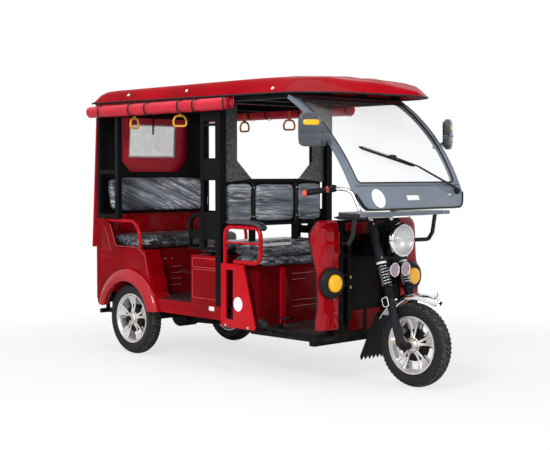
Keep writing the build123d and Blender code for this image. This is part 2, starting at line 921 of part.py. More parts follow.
# Armrest frames: red bent tubes at the rear bench and at the driver's seat
rear_arm_r = 12.0
rear_arm_y = half_body - skin - rear_arm_r - seat_gap
rear_arm_z = body_top_z - rear_arm_r
arm_y = half_body - 13
driver_arm_r = 13.0
arm_rear_x = 36.0
arm_front_x = 352.0
rear_arm = bent_tube(
    [(-1230, -rear_arm_y, rear_arm_z), (-890, -rear_arm_y, rear_arm_z), (-832, -rear_arm_y, 800),
     (-832, -rear_arm_y, seat_base_z + seat_gap)],
    rear_arm_r,
    70,
)
driver_arm = bent_tube(
    [(arm_rear_x, -arm_y, 667), (arm_rear_x, -arm_y, 890), (arm_front_x, -arm_y, 890),
     (arm_front_x, -arm_y, 680), (120, -arm_y, 680)],
    driver_arm_r,
    [45, 30, 90],
)
arm_bar = block(arm_rear_x + 4, arm_front_x - 4, -arm_y - 4, -arm_y + 4, 780, 812)
driver_arm += arm_bar
arms = [rear_arm, driver_arm, mirrored(rear_arm), mirrored(driver_arm)]
save("armrest_frames", Compound(children=arms))

pad = side_slab(
    [(44, 903.3), (44, 926), (330, 932), (388, 905), (388, 868), (366, 868), (366, 903.3)],
    -arm_y - 32, -arm_y + 32,
    [6, 10, 30, 20, 5, 5, 2],
)
save("armrest_pads", both_sides(pad))


# Step plates at the driver's door
loop_z = 680.0
plate_top_z = loop_z - driver_arm_r - seat_gap


def make_step_plate():
    plate = side_slab(
        [(8, 283), (324, 283), (212, plate_top_z), (8, plate_top_z)],
        -half_body, -half_body + skin, [8, 20, 4, 4],
    )
    plate += block(14, 206, -half_body, -half_body + 2 * driver_arm_r, plate_top_z - 6, plate_top_z)
    plate -= side_slab([(56, 330), (120, 330), (120, 630), (56, 630)], -half_body - 1, -half_body + skin + 1)
    return plate


save("step_plates", both_sides(make_step_plate()))


# Leg shields: moulded panels that wrap from the nose back round the driver's legs
shield_sections = (
    # z, rear edge x, outer y, bulge of the front face
    (322.0, 760.0, 440.0, 6.0),
    (386.0, 761.0, 440.0, 8.0),
    (415.0, 772.0, 440.0, 3.0),
    (473.0, 777.0, 440.0, 0.0),
    (557.0, 776.0, 440.0, 0.0),
    (658.0, 770.0, 440.0, 0.0),
    (692.0, 760.0, 440.0, 0.0),
    (746.0, 739.0, 440.0, 10.0),
    (807.0, 721.0, 440.0, 14.0),
    (869.0, 717.0, 440.0, 12.0),
    (904.0, 735.0, 434.0, 4.0),
    (930.0, 742.0, 418.0, -8.0),
    (945.0, 746.0, 398.0, -20.0),
)
shield_inner_y = 273.0
shield_wall = 9.0


def shield_arc(rear_x, side_y, front, flat_y):
    # A quarter turn from the side round to the front face, fuller at its corner than an ellipse
    return Bezier(
        (rear_x, side_y),
        (rear_x + 0.72 * (front - rear_x), side_y),
        (front, side_y + 0.34 * (flat_y - side_y)),
        (front, flat_y),
    )


def shield_face(z, rear_x, outer_y, bulge):
    front = shield_x + bulge
    wall = shield_wall
    inner_edge = (shield_x - 4 + min(bulge, 0), -shield_inner_y)
    inner_back = (inner_edge[0] - wall, -shield_inner_y)
    flat_y = -shield_inner_y - 0.30 * (outer_y - shield_inner_y)
    outer = shield_arc(rear_x, -outer_y, front, flat_y)
    face = Line((front, flat_y), inner_edge)
    end = Line(inner_edge, inner_back)
    back_face = Line(inner_back, (front - wall, flat_y))
    back = shield_arc(rear_x, -outer_y + wall, front - wall, flat_y)
    close = Line((rear_x, -outer_y + wall), (rear_x, -outer_y))
    return Plane.XY.offset(z) * make_face(outer + face + end + back_face + back + close)


shield = loft([shield_face(*row) for row in shield_sections], ruled=True)
save("leg_shields", both_sides(shield))


# Front fascia between the shields, ribbed, with a deep lower panel
fascia_skin = 6.0
fascia_half = 330.0
fascia_top_z = 940.0


def make_fascia():
    x1 = fascia_x - 2 - seat_gap
    panel = block(x1 - fascia_skin, x1, -fascia_half, fascia_half, driver_floor_z, fascia_top_z)
    for side in (-1, 1):
        for y in (42, 76, 110, 144):
            panel += block(x1, x1 + 1.5, side * y - 6, side * y + 6, 312, 440)
    panel += block(x1 - 2 * fascia_skin, x1, -fascia_half, fascia_half, fascia_top_z - 10, fascia_top_z + 2)
    return panel


save("front_fascia", make_fascia())


# Turn signals on the shields' noses
signal_y = 344.0
signal_z = 590.0
signal_x = shield_x + seat_gap
signal_radius = 90.0
lens_radius = 50.0


def make_signal():
    body = rod((signal_x, -signal_y, signal_z), (signal_x + 38, -signal_y, signal_z), signal_radius)
    body = fillet(body.edges().group_by(Axis.X)[-1], radius=16)
    lens = rod((signal_x + 36, -signal_y, signal_z), (signal_x + 58, -signal_y, signal_z), lens_radius)
    lens = fillet(lens.edges().group_by(Axis.X)[-1], radius=14)
    return body + lens


save("turn_signals", both_sides(make_signal()))


# Windscreen: one curved moulding of pillars and apron, with the glass let in
screen_depth = 26.0
glass_depth = 5.0
pillar_face = 44.0
glass_low_z = 1158.0
header_z = 1640.0


def screen_circle():
    (ax, az), (bx, bz), (cx, cz) = screen_top, screen_mid, screen_foot
    d = 2 * (ax * (bz - cz) + bx * (cz - az) + cx * (az - bz))
    a2 = ax * ax + az * az
    b2 = bx * bx + bz * bz
    c2 = cx * cx + cz * cz
    ux = (a2 * (bz - cz) + b2 * (cz - az) + c2 * (az - bz)) / d
    uz = (a2 * (cx - bx) + b2 * (ax - cx) + c2 * (bx - ax)) / d
    return ux, uz, hypot(ax - ux, az - uz)


def screen_point(z, out):
    # Point of the screen's outer curve at height z, moved outwards
    ux, uz, radius = screen_circle()
    angle = asin((z - uz) / radius)
    return (ux + (radius + out) * cos(angle), uz + (radius + out) * sin(angle))


def screen_band(depth, half):
    outer = ThreePointArc(screen_top, screen_mid, screen_foot)
    normal = (0.66, 0.75)
    inner = ThreePointArc(
        (screen_foot[0] - depth, screen_foot[1]),
        (screen_mid[0] - depth * normal[0], screen_mid[1] - depth * normal[1]),
        (screen_top[0] - depth * 0.4, screen_top[1] - depth),
    )
    ends = Line(outer @ 1, inner @ 0) + Line(inner @ 1, outer @ 0)
    plane = Plane(origin=(0, half, 0), x_dir=(1, 0, 0), z_dir=(0, -1, 0))
    return extrude(plane * make_face(outer + inner + ends), amount=2 * half)


def screen_outline(grow):
    return [
        (-494 - grow, 1690), (-480 - grow, 1400), (-467 - grow, 1105), (-417 - grow * 0.5, 1010 - grow),
        (417 + grow * 0.5, 1010 - grow), (467 + grow, 1105), (480 + grow, 1400), (494 + grow, 1690),
    ]


def glass_outline(shrink):
    p = pillar_face + shrink
    return [
        (-490 + p, header_z - shrink), (-480 + p, 1400), (-467 + p, glass_low_z + shrink),
        (467 - p, glass_low_z + shrink), (480 - p, 1400), (490 - p, header_z - shrink),
    ]


screen = screen_band(screen_depth, 540)
screen &= cross_slab(screen_outline(0), 500, 1200, [5, 5, 60, 50, 50, 60, 5, 5])
screen -= cross_slab(glass_outline(0), 500, 1200, [30, 5, 30, 30, 5, 30])
save("windscreen_frame", screen)
glass_band = Pos(-8, 0, -4) * screen_band(glass_depth, 540)
save("windscreen_glass", glass_band & cross_slab(glass_outline(seat_gap), 500, 1200, [30, 5, 30, 30, 5, 30]))


# Wiper on the apron, parked across the glass
pivot_low = screen_point(1114, seat_gap)
pivot_high = screen_point(1114, 22)
tip = screen_point(1250, 16)
pivot_y = 408.0
wiper = rod((pivot_low[0], pivot_y, pivot_low[1]), (pivot_high[0], pivot_y, pivot_high[1]), 11)
wiper += rod((pivot_high[0], pivot_y, pivot_high[1] - 4), (tip[0], 190, tip[1]), 4)
save("wiper", wiper)


# Mirrors on brackets from the windscreen pillars
mirror_z = 1440.0
mirror_x = 880.0
mirror_height = 226.0
mirror_width = 128.0


def make_mirror():
    y_out = -half_mirrors
    shell = block(mirror_x - 32, mirror_x + 32, y_out, y_out + mirror_width,
                  mirror_z - mirror_height / 2, mirror_z + mirror_height / 2)
    shell = fillet(shell.edges(), radius=18)
    arm_x, arm_z = screen_point(mirror_z - 84, -screen_depth / 2)
    arm = bent_tube(
        [
            (mirror_x - 10, y_out + mirror_width - 12, mirror_z - 70),
            (mirror_x - 10, -542, arm_z),
            (arm_x, -516, arm_z),
            (arm_x, -478.8, arm_z),
        ],
        9,
        12,
    )
    return shell + arm


save("mirrors", both_sides(make_mirror()))


# Dash tray under the apron, notched for the handlebar, on two stays
tray_z = 972.0
tray_thickness = 20.0
notch_radius = 140.0


def make_tray():
    pivot = raked(755)
    tray = plan_slab(
        [(1092, -120), (1060, -400), (1010, -418), (905, -400), (815, -300), (815, 300), (905, 400),
         (1010, 418), (1060, 400), (1092, 120)],
        tray_z, tray_z + tray_thickness,
        [200, 20, 20, 30, 20, 20, 30, 20, 20, 200],
    )
    tray -= Pos(pivot[0], 0, tray_z + 10) * Cylinder(notch_radius, 60)
    tray -= block(700, pivot[0], -notch_radius, notch_radius, tray_z - 5, tray_z + 40)
    for side in (-1, 1):
        stay = [
            (985, side * 350, tray_z + 2),
            (966, side * 350, 862),
            (936, side * 350, 818),
            (shield_x + 60, side * 248, 812),
            (front_tube_x + seat_gap, side * 248, 812),
        ]
        tray += bent_tube(stay, 12, 20)
    return tray


save("dash_tray", make_tray())


# Brake pedal on the driver's floor
pedal = block(415, 450, -407, -383, driver_floor_z + seat_gap, driver_floor_z + 16)
pedal += rod((432, -395, driver_floor_z + 8), (470, -395, driver_floor_z + 70), 7)
pedal += block(440, 520, -425, -365, driver_floor_z + 62, driver_floor_z + 74)
save("brake_pedal", pedal)


# Rear bumper tubes
bumper = None
for z in (252.0, 322.0):
    bar = rod((tail_x - 48, -430, z), (tail_x - 48, 430, z), 16)
    bumper = bar if bumper is None else bumper + bar
hanger_top_z = rail_bottom_z + 4 - seat_gap
for y in (-370.0, 370.0):
    bumper += block(tail_x - 52, tail_x + 44, y - 12, y + 12, 240, 264)
    bumper += block(tail_x + 18, tail_x + 44, y - 12, y + 12, 240, hanger_top_z)
    bumper += block(tail_x - 56, tail_x - 40, y - 12, y + 12, 240, 336)
save("rear_bumper", bumper)


# Fork on the raked steering axis
tube_upper_r = 27.0
slider_radius = 25.0
clamp_low = head_foot - 24
clamp_high = head_top + 4
clamp_thickness = 20.0
clamp_reach = 68.0
leg_top = clamp_high + 34
spring_foot = 330.0
spring_top = 462.0
spring_turns = 6
spring_radius = 31.0


def make_fork():
    fork = rod(raked(clamp_low), raked(clamp_high + clamp_thickness + 10), stem_radius)
    for start in (clamp_low, clamp_high):
        fork += raked_slab(
            [(-32, -38), (-32, 38), (20, 119), (clamp_reach, 119), (clamp_reach, -119), (20, -119)],
            start, start + clamp_thickness,
            [14, 14, 12, 12, 12, 12],
        )
    for side in (-1, 1):
        fork += rod(
            raked(spring_top, side * leg_y, stem_offset),
            raked(leg_top, side * leg_y, stem_offset),
            tube_upper_r,
        )
        y = side * leg_y
        fork += rod(raked(spring_foot - 20, y, stem_offset), raked(spring_top + 5, y, stem_offset), 15)
        fork += rod(raked(-12, y, stem_offset), raked(spring_foot - 10, y, stem_offset), slider_radius)
        boss = cross_rod(front_axle_x, axle_z, side * (leg_y - 26), side * (leg_y + 24), 22)
        fork += boss
        web_y0, web_y1 = sorted((side * (leg_y - 12), side * (leg_y + 12)))
        foot = raked(0, 0, stem_offset)
        fork += side_slab(
            [
                (foot[0] - 8, foot[2] - 20),
                (front_axle_x, axle_z - 20),
                (front_axle_x, axle_z + 20),
                (foot[0] - 8, foot[2] + 60),
            ],
            web_y0, web_y1,
        )
    fork -= cross_rod(front_axle_x, axle_z, -leg_y - 60, leg_y + 60, spindle_radius + bearing_gap)
    return fork


def make_spring():
    # Coils as a bellows turned from straight flanks
    height = spring_top - spring_foot - 2
    pitch = (height - 4) / spring_turns
    root = spring_radius - 8
    profile = [(15 + seat_gap, 0), (root, 0)]
    for n in range(spring_turns):
        low = 2 + pitch * n
        profile += [
            (root, low + 0.14 * pitch),
            (spring_radius, low + 0.36 * pitch),
            (spring_radius, low + 0.64 * pitch),
            (root, low + 0.86 * pitch),
        ]
    profile += [(root, height), (15 + seat_gap, height)]
    return revolve(Plane.XZ * outline(profile), axis=Axis.Z, revolution_arc=360)


save("fork", make_fork())
spring = make_spring()
springs = []
lean = (-sin(radians(rake)), 0, cos(radians(rake)))
for side in (-1, 1):
    seat = raked(spring_foot - 10 + seat_gap, side * leg_y, stem_offset)
    springs.append(Plane(origin=seat, x_dir=(0, 1, 0), z_dir=lean) * spring)
save("fork_springs", Compound(children=springs))

front_spindle = cross_rod(front_axle_x, axle_z, -leg_y - 40, leg_y + 40, spindle_radius)
save("front_spindle", front_spindle)


# Handlebar, risers and grips
bar_radius = 11.0
grip_radius = 17.0
bar_foot = raked(leg_top + seat_gap, leg_y, stem_offset)
bar_knee = raked(leg_top + 42, leg_y, stem_offset)


def make_handlebar(side):
    points = [
        (bar_foot[0], side * leg_y, bar_foot[2]),
        (bar_knee[0], side * leg_y, bar_knee[2]),
        (900, side * 150, 1110),
        (820, side * 190, 1124),
        (577, side * 331, 1097),
    ]
    return bent_tube(points, bar_radius, [30, 30, 60])


handlebar = make_handlebar(-1) + make_handlebar(1)
brace = raked(leg_top + 24, leg_y, stem_offset)
handlebar += rod((brace[0], -leg_y, brace[2]), (brace[0], leg_y, brace[2]), bar_radius * 0.7)
save("handlebar", handlebar)


# Headlight and the pair of small lamps
headlight_x = front_axle_x - 87
headlight_z = 831.0
headlight_radius = 98.0


def make_headlight():
    ring = rod((headlight_x - 34, 0, headlight_z), (headlight_x, 0, headlight_z), headlight_radius)
    ring = fillet(ring.edges().group_by(Axis.X)[-1], radius=12)
    cone = Cone(headlight_radius - 8, 40, 80, align=(Align.CENTER, Align.CENTER, Align.MIN))
    bowl = Pos(headlight_x - 34, 0, headlight_z) * Rot(0, -90, 0) * cone
    lamp = ring + bowl
    for side in (-1, 1):
        y0, y1 = sorted((side * (leg_y - tube_upper_r - seat_gap), side * (leg_y - tube_upper_r - 7)))
        lamp += block(headlight_x - 150, headlight_x - 60, y0, y1, headlight_z - 12, headlight_z + 12)
    return lamp


save("headlight", make_headlight())
lamp_bar_x = raked(clamp_low, 0, clamp_reach)[0] + seat_gap
twin_y = 48.0
twin_z = 662.0
twin_radius = 41.0
twin_back_x = lamp_bar_x + 6
twin_depth = front_axle_x - 112 - twin_back_x
twin_profile = [(0, 0), (12, 0), (twin_radius, twin_depth - 8), (twin_radius, twin_depth), (0, twin_depth)]
twin = block(lamp_bar_x, lamp_bar_x + 8, -twin_y, twin_y, twin_z - 10, twin_z + 10)
twin += block(lamp_bar_x, lamp_bar_x + 8, -24, 24, twin_z, 722)
for side in (-1, 1):
    shell = revolve(outline(twin_profile), axis=Axis.Y, revolution_arc=360)
    twin += Pos(twin_back_x, side * twin_y, twin_z) * (Rot(0, 0, -90) * shell)
save("twin_lights", twin)


# Front mudguard, its ornament and the rear flap
guard_radius = 292.0
guard_half = 54.0
guard_skin = 4.0
guard_end = 150.0


def guard_point(angle, radius):
    return (front_axle_x + radius * cos(radians(angle)), axle_z + radius * sin(radians(angle)))


def make_mudguard():
    tip = guard_radius + 26
    under = guard_radius - guard_skin
    outer = ThreePointArc(
        guard_point(56, tip), guard_point(105, guard_radius), guard_point(guard_end, guard_radius)
    )
    inner = ThreePointArc(
        guard_point(guard_end, under), guard_point(105, under), guard_point(56, tip - guard_skin)
    )
    ends = Line(outer @ 1, inner @ 0) + Line(inner @ 1, outer @ 0)
    plane = Plane(origin=(0, guard_half, 0), x_dir=(1, 0, 0), z_dir=(0, -1, 0))
    guard = extrude(plane * make_face(outer + inner + ends), amount=2 * guard_half)
    tab_x, tab_z = guard_point(115, guard_radius - 3)
    tab_y = leg_y - slider_radius - seat_gap
    guard += block(tab_x - 14, tab_x + 14, -tab_y, tab_y, tab_z - 9, tab_z - 3)
    return guard


save("front_mudguard", make_mudguard())

flap_end = guard_point(guard_end, guard_radius + seat_gap)
flap_foot = (front_axle_x - 332, 122.0)
flap_slope = (flap_end[0] - flap_foot[0]) / (flap_end[1] - flap_foot[1])
flap_top = (flap_end[0] + 22 * flap_slope, flap_end[1] + 22)


def make_flap():
    lean = side_slab(
        [flap_top, (flap_top[0] - 5, flap_top[1]), (flap_foot[0] - 5, flap_foot[1]), flap_foot], -120, 120
    )
    teeth = []
    for n in range(6):
        y = -105 + 35 * n
        teeth += [(y + 17.5, 122), (y + 35, 146)]
    face = cross_slab([(-52, 420), (-105, 146)] + teeth[:-1] + [(105, 146), (52, 420)], 600, 1000)
    return lean & face


save("mud_flap", make_flap())
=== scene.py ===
import math

import bmesh
import bpy
import numpy as np
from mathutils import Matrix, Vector


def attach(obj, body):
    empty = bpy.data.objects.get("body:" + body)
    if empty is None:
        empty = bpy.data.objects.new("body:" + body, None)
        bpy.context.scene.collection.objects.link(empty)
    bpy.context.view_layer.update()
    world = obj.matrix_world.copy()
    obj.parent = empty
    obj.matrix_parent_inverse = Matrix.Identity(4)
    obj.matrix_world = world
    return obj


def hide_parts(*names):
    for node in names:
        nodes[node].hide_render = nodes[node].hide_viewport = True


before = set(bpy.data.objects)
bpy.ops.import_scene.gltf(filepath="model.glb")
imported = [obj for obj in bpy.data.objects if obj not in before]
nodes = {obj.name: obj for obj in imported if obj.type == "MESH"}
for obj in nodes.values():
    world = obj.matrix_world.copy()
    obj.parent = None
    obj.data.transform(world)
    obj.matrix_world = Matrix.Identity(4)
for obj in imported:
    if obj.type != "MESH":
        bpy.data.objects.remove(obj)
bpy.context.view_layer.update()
scene = bpy.context.scene
print("frame loaded")

# Camera, light and floor
view = {"place": (5.2370, -4.9729, 1.2155), "yaw": 136.65, "pitch": -2.643, "lens": 74.28}
yaw, pitch = math.radians(view["yaw"]), math.radians(view["pitch"])
ahead = Vector((math.cos(pitch) * math.cos(yaw), math.cos(pitch) * math.sin(yaw), math.sin(pitch)))
cameraData = bpy.data.cameras.new("photoView")
cameraData.lens = view["lens"]
cameraData.sensor_width = 36.0
camera = bpy.data.objects.new("photoView", cameraData)
camera.location = view["place"]
camera.rotation_euler = ahead.to_track_quat("-Z", "Y").to_euler()
scene.collection.objects.link(camera)
scene.camera = camera
scene.view_settings.view_transform = "Standard"


def softBox(name, place, target, size, power):
    lamp = bpy.data.lights.new(name, "AREA")
    lamp.shape = "RECTANGLE"
    lamp.size, lamp.size_y = size
    lamp.energy = power
    holder = bpy.data.objects.new(name, lamp)
    holder.location = place
    holder.rotation_euler = (Vector(target) - Vector(place)).to_track_quat("-Z", "Y").to_euler()
    scene.collection.objects.link(holder)


softBox("keyLight", (2.6, -5.6, 4.2), (0, 0, 0.9), (1.9, 1.5), 250)
softBox("frontLight", (6.5, 0.6, 3.0), (0.6, 0, 0.8), (1.3, 1.1), 95)
softBox("topLight", (-0.2, -0.6, 5.6), (0, 0, 1.0), (4.0, 2.4), 105)


# Shader tools
class Socket:
    # One output of a node; the operators add Math nodes
    def __init__(self, shader, out):
        self.shader, self.out = shader, out

    def calc(self, operation, *values):
        return self.shader.node("ShaderNodeMath", {"operation": operation}, values)

    def __add__(self, other):
        return self.calc("ADD", self, other)

    __radd__ = __add__

    def __mul__(self, other):
        return self.calc("MULTIPLY", self, other)

    __rmul__ = __mul__

    def __sub__(self, other):
        return self.calc("SUBTRACT", self, other)

    def __rsub__(self, other):
        return self.calc("SUBTRACT", other, self)

    def __pow__(self, other):
        return self.calc("POWER", self, other)


class Shader:
    # A principled material; node() adds any other node, the rest are short names for common ones
    def __init__(self, name, colour, roughness=0.5, **fixed):
        self.material = bpy.data.materials.new(name)
        self.material.use_nodes = True
        self.tree = self.material.node_tree
        self.tree.nodes.clear()
        self.end = self.tree.nodes.new("ShaderNodeOutputMaterial")
        self.surface = self.tree.nodes.new("ShaderNodeBsdfPrincipled")
        self.tree.links.new(self.surface.outputs[0], self.end.inputs[0])
        self.material.diffuse_color = (*colour, 1.0)
        self.put({"Base Color": colour, "Roughness": roughness})
        self.put({key.replace("_", " "): value for key, value in fixed.items()})

    def feed(self, socket, value):
        if isinstance(value, Socket):
            self.tree.links.new(value.out, socket)
        elif isinstance(value, tuple) and len(value) == 3 and socket.type == "RGBA":
            socket.default_value = (*value, 1.0)
        else:
            socket.default_value = value

    def put(self, values):
        for key, value in values.items():
            self.feed(self.surface.inputs[key], value)
        return self.material

    def node(self, kind, settings=None, values=(), out=0):
        made = self.tree.nodes.new(kind)
        for key, value in (settings or {}).items():
            setattr(made, key, value)
        pairs = values.items() if isinstance(values, dict) else enumerate(values)
        for key, value in pairs:
            if value is not None:
                self.feed(made.inputs[key], value)
        return Socket(self, made.outputs[out])

    def place(self, scale=(1, 1, 1), turn=(0, 0, 0), move=(0, 0, 0)):
        here = self.node("ShaderNodeTexCoord", out="Object")
        return self.node("ShaderNodeMapping", {}, {
            "Vector": here, "Location": move, "Rotation": turn, "Scale": scale})

    def noise(self, scale, detail=3.0, rough=0.55, at=None, twist=0.0):
        return self.node("ShaderNodeTexNoise", {}, {
            "Vector": at or self.place(), "Scale": scale, "Detail": detail, "Roughness": rough,
            "Distortion": twist})

    def cells(self, scale):
        return self.node("ShaderNodeTexVoronoi", {}, {"Vector": self.place(), "Scale": scale}, "Distance")

    def stripes(self, way, scale):
        return self.node("ShaderNodeTexWave", {"bands_direction": way}, {
            "Vector": self.place(), "Scale": scale})

    def axis(self, name):
        return self.node("ShaderNodeSeparateXYZ", {}, [self.place()], name)

    def fade(self, value, low, high):
        # 0 at low and 1 at high, smooth between
        return self.node("ShaderNodeMapRange", {"interpolation_type": "SMOOTHSTEP"}, {
            "Value": value, "From Min": low, "From Max": high})

    def blend(self, factor, first, second):
        return self.node("ShaderNodeMix", {"data_type": "RGBA"}, {0: factor, 6: first, 7: second}, 2)

    def bump(self, height, distance, strength=1.0, after=None):
        return self.node("ShaderNodeBump", {}, {
            "Height": height, "Distance": distance, "Strength": strength, "Normal": after})


# Paints, metals and plastics
dustColour = (0.16, 0.12, 0.10)


def glossPaint(name, colour, dark, wave=0.0012, coat=0.12, gloss=0.03):
    # Sprayed sheet: orange peel over slow waves of the metal, dust low down
    s = Shader(name, colour, 0.32, Specular_IOR_Level=gloss, Coat_Weight=coat, Coat_Roughness=0.04)
    tone = s.fade(s.noise(2.3, 3), 0.35, 0.7)
    base = s.blend(tone, dark, colour)
    grime = s.fade(s.axis("Z"), 0.62, 0.22) * s.fade(s.noise(26, 5, 0.7), 0.42, 0.75)
    waves = s.bump(s.noise(5.5, 2), wave * 6)
    s.put({"Roughness": 0.26 + 0.25 * grime + 0.06 * tone, "Coat Weight": (1 - 0.5 * grime) * coat})
    return s.put({"Base Color": s.blend(grime * 0.10, base, dustColour),
                  "Normal": s.bump(s.noise(420, 2), 0.00012, 0.6, waves)})


def satinPaint(name, colour, roughness=0.38, wear=(0.11, 0.10, 0.10)):
    # Tube and frame paint with fine grain, thin scuffs and dust in low places
    s = Shader(name, colour, roughness, Specular_IOR_Level=0.06, Coat_Weight=0.02, Coat_Roughness=0.18)
    scuff = s.fade(s.noise(60, 6, 0.7, s.place((1, 1, 0.25)), 0.6), 0.66, 0.78)
    dust = s.fade(s.axis("Z"), 0.55, 0.15) * s.fade(s.noise(17, 5, 0.7), 0.40, 0.72)
    base = s.blend(scuff * 0.5, colour, wear)
    return s.put({"Base Color": s.blend(dust * 0.16, base, dustColour),
                  "Roughness": roughness + 0.2 * dust + 0.12 * s.noise(8),
                  "Normal": s.bump(s.noise(260, 3), 0.00018, 0.7)})


def mouldedPlastic(name, colour, roughness=0.42, coat=0.12, grain=0.0002):
    # Fine pebbled moulding with slight sheen changes
    s = Shader(name, colour, roughness, Specular_IOR_Level=0.20, Coat_Weight=coat, Coat_Roughness=0.2)
    lighter = tuple(min(1.0, c * 1.25 + 0.004) for c in colour)
    return s.put({"Base Color": s.blend(s.fade(s.noise(3.2, 4), 0.3, 0.75), colour, lighter),
                  "Roughness": roughness + 0.14 * (s.noise(14, 4) - 0.5),
                  "Normal": s.bump(s.cells(900), grain, 0.5)})


def brightMetal(name, colour, roughness=0.09, brush=0.0):
    # Plated or bare metal with smears; brush adds fine lines across
    s = Shader(name, colour, roughness, Metallic=1.0)
    height = s.noise(7, 2) + brush * s.noise(300, 2, 0.5, s.place((1, 0.05, 1)))
    return s.put({"Roughness": roughness + 0.14 * s.fade(s.noise(22, 5, 0.65), 0.5, 0.85),
                  "Normal": s.bump(height, 0.00015)})


def alloyWheel():
    # Cast and machined, stained brown in patches
    s = Shader("wheelAlloy", (0.62, 0.61, 0.60), 0.36, Metallic=0.55)
    stain = s.fade(s.noise(34, 6, 0.7), 0.52, 0.78)
    s.put({"Base Color": s.blend(stain * 0.45, (0.72, 0.70, 0.69), (0.34, 0.28, 0.24))})
    return s.put({"Roughness": 0.32 + 0.3 * stain,
                  "Normal": s.bump(s.noise(150, 3) + 0.6 * s.noise(9, 2), 0.0003)})


def tyreRubber(name, dust):
    s = Shader(name, (0.010, 0.011, 0.013), 0.5, Specular_IOR_Level=0.24)
    road = s.fade(s.noise(60, 6, 0.75), 0.40, 0.66)
    s.put({"Base Color": s.blend(road * dust, (0.008, 0.009, 0.011), (0.125, 0.115, 0.095))})
    return s.put({"Roughness": 0.52 + 0.3 * road, "Normal": s.bump(s.noise(380, 3), 0.0003)})


def canvasCloth():
    # Coated cloth: a fine crossed weave under a soft sheen, shallow creases with painted shade in their hollows
    s = Shader("curtainCanvas", (0.55, 0.01, 0.03), 0.40, Specular_IOR_Level=0.3, Coat_Weight=0.12,
               Coat_Roughness=0.28)
    crease = s.noise(9, 4, 0.6, s.place((0.35, 1, 1)), 1.2)
    # Painted shade and light: the colour follows the crease height, darker in the hollows of the folds and lighter
    # on their crests
    s.put({"Base Color": s.blend(s.fade(crease, 0.3, 0.7), (0.54, 0.007, 0.024), (0.70, 0.014, 0.040))})
    weave = s.stripes("X", 190.0) * s.stripes("Z", 190.0)
    folds = s.bump(crease, 0.004)
    return s.put({"Normal": s.bump(weave, 0.00025, 0.8, folds), "Roughness": 0.34 + 0.2 * s.noise(30)})


def wrappedSeat(name, turn, stretch, light=0.85, dark=(0.036, 0.046, 0.060),
                pale=(0.230, 0.268, 0.322)):
    # Grey leatherette in a loose clear film with sharp drawn creases; near-white painted highlights run along the
    # crease ridges in the colour
    s = Shader(name, (0.09, 0.10, 0.115), 0.24, Specular_IOR_Level=0.3, Coat_Weight=0.2,
               Coat_Roughness=0.08)
    drawn = s.node("ShaderNodeMapping", {}, {"Vector": s.place(turn=turn), "Scale": stretch})
    slow = s.noise(2.6, 3, 0.55, s.place((1.0, 0.7, 1.6)), 0.6)
    fine = s.noise(20, 4, 0.55, drawn, 0.5)
    ridge = 1 - fine.calc("ABSOLUTE", fine - 0.5) * 14
    paintedGlint = s.fade(ridge, 0.35, 0.95) * s.fade(slow, 0.40, 0.60)
    base = s.blend(s.fade(s.noise(9, 4, 0.6, drawn, 0.4), 0.35, 0.65), dark, pale)
    # Painted highlight: the colour turns near white along the crease ridges on the high parts of the slow bulges
    s.put({"Base Color": s.blend(paintedGlint * light, base, (0.90, 0.93, 0.97))})
    s.put({"Roughness": 0.30 - 0.16 * paintedGlint})
    film = s.bump(fine, 0.008)
    return s.put({"Normal": s.bump(slow, 0.018, 1.0, film)})


def clearVinyl():
    s = Shader("windowVinyl", (0.74, 0.77, 0.77), 0.22, Coat_Weight=0.6, Coat_Roughness=0.06)
    crinkle = s.noise(13, 3, 0.5, None, 1.0)
    s.put({"Base Color": s.blend(s.fade(crinkle, 0.35, 0.7), (0.76, 0.80, 0.78), (0.95, 0.97, 0.95))})
    return s.put({"Normal": s.bump(crinkle, 0.006), "Alpha": 0.22 + 0.35 * crinkle})


def screenGlass():
    s = Shader("screenGlass", (0.86, 0.91, 0.94), 0.03)
    return s.put({"Alpha": 0.12, "Normal": s.bump(s.noise(1.6, 2), 0.0006)})


def lampLens(name, colour, glow, size=420.0, alpha=1.0):
    # Moulded lens of small prisms
    s = Shader(name, colour, 0.10, Specular_IOR_Level=0.35, Coat_Weight=0.35, Coat_Roughness=0.03)
    prism = s.cells(size)
    dark = tuple(c * 0.72 for c in colour)
    s.put({"Base Color": s.blend(s.fade(prism, 0.1, 0.7), colour, dark), "Alpha": alpha})
    return s.put({"Emission Color": colour, "Emission Strength": glow, "Normal": s.bump(prism, 0.0012)})


def carvedPlate():
    # Black plate with a cast scroll pattern, worn pale along its raised lines
    s = Shader("carvedPlate", (0.02, 0.022, 0.022), 0.42, Coat_Weight=0.3, Coat_Roughness=0.2)
    bent = s.noise(14, 3, 0.5, None, 2.5)
    rings = s.node("ShaderNodeTexWave", {"wave_type": "RINGS", "rings_direction": "SPHERICAL"}, {
        "Vector": s.place(move=(0.0, 0.4, 0.3)), "Scale": 11.0, "Distortion": 22.0, "Detail": 3.0,
        "Detail Scale": 1.6})
    raised = s.fade(rings + 0.3 * bent, 0.62, 0.86)
    s.put({"Base Color": s.blend(raised * 0.5, (0.016, 0.018, 0.018), (0.13, 0.15, 0.145))})
    return s.put({"Roughness": 0.48 - 0.16 * raised, "Normal": s.bump(raised, 0.0016)})


def ribbedMat():
    s = Shader("floorMat", (0.03, 0.026, 0.026), 0.55)
    rib = s.stripes("Y", 34.0)
    dust = s.fade(s.noise(9, 6, 0.7), 0.42, 0.75)
    s.put({"Base Color": s.blend(dust * 0.35, (0.012, 0.008, 0.008), (0.09, 0.05, 0.045))})
    return s.put({"Roughness": 0.42 + 0.3 * dust, "Normal": s.bump(rib, 0.0012)})


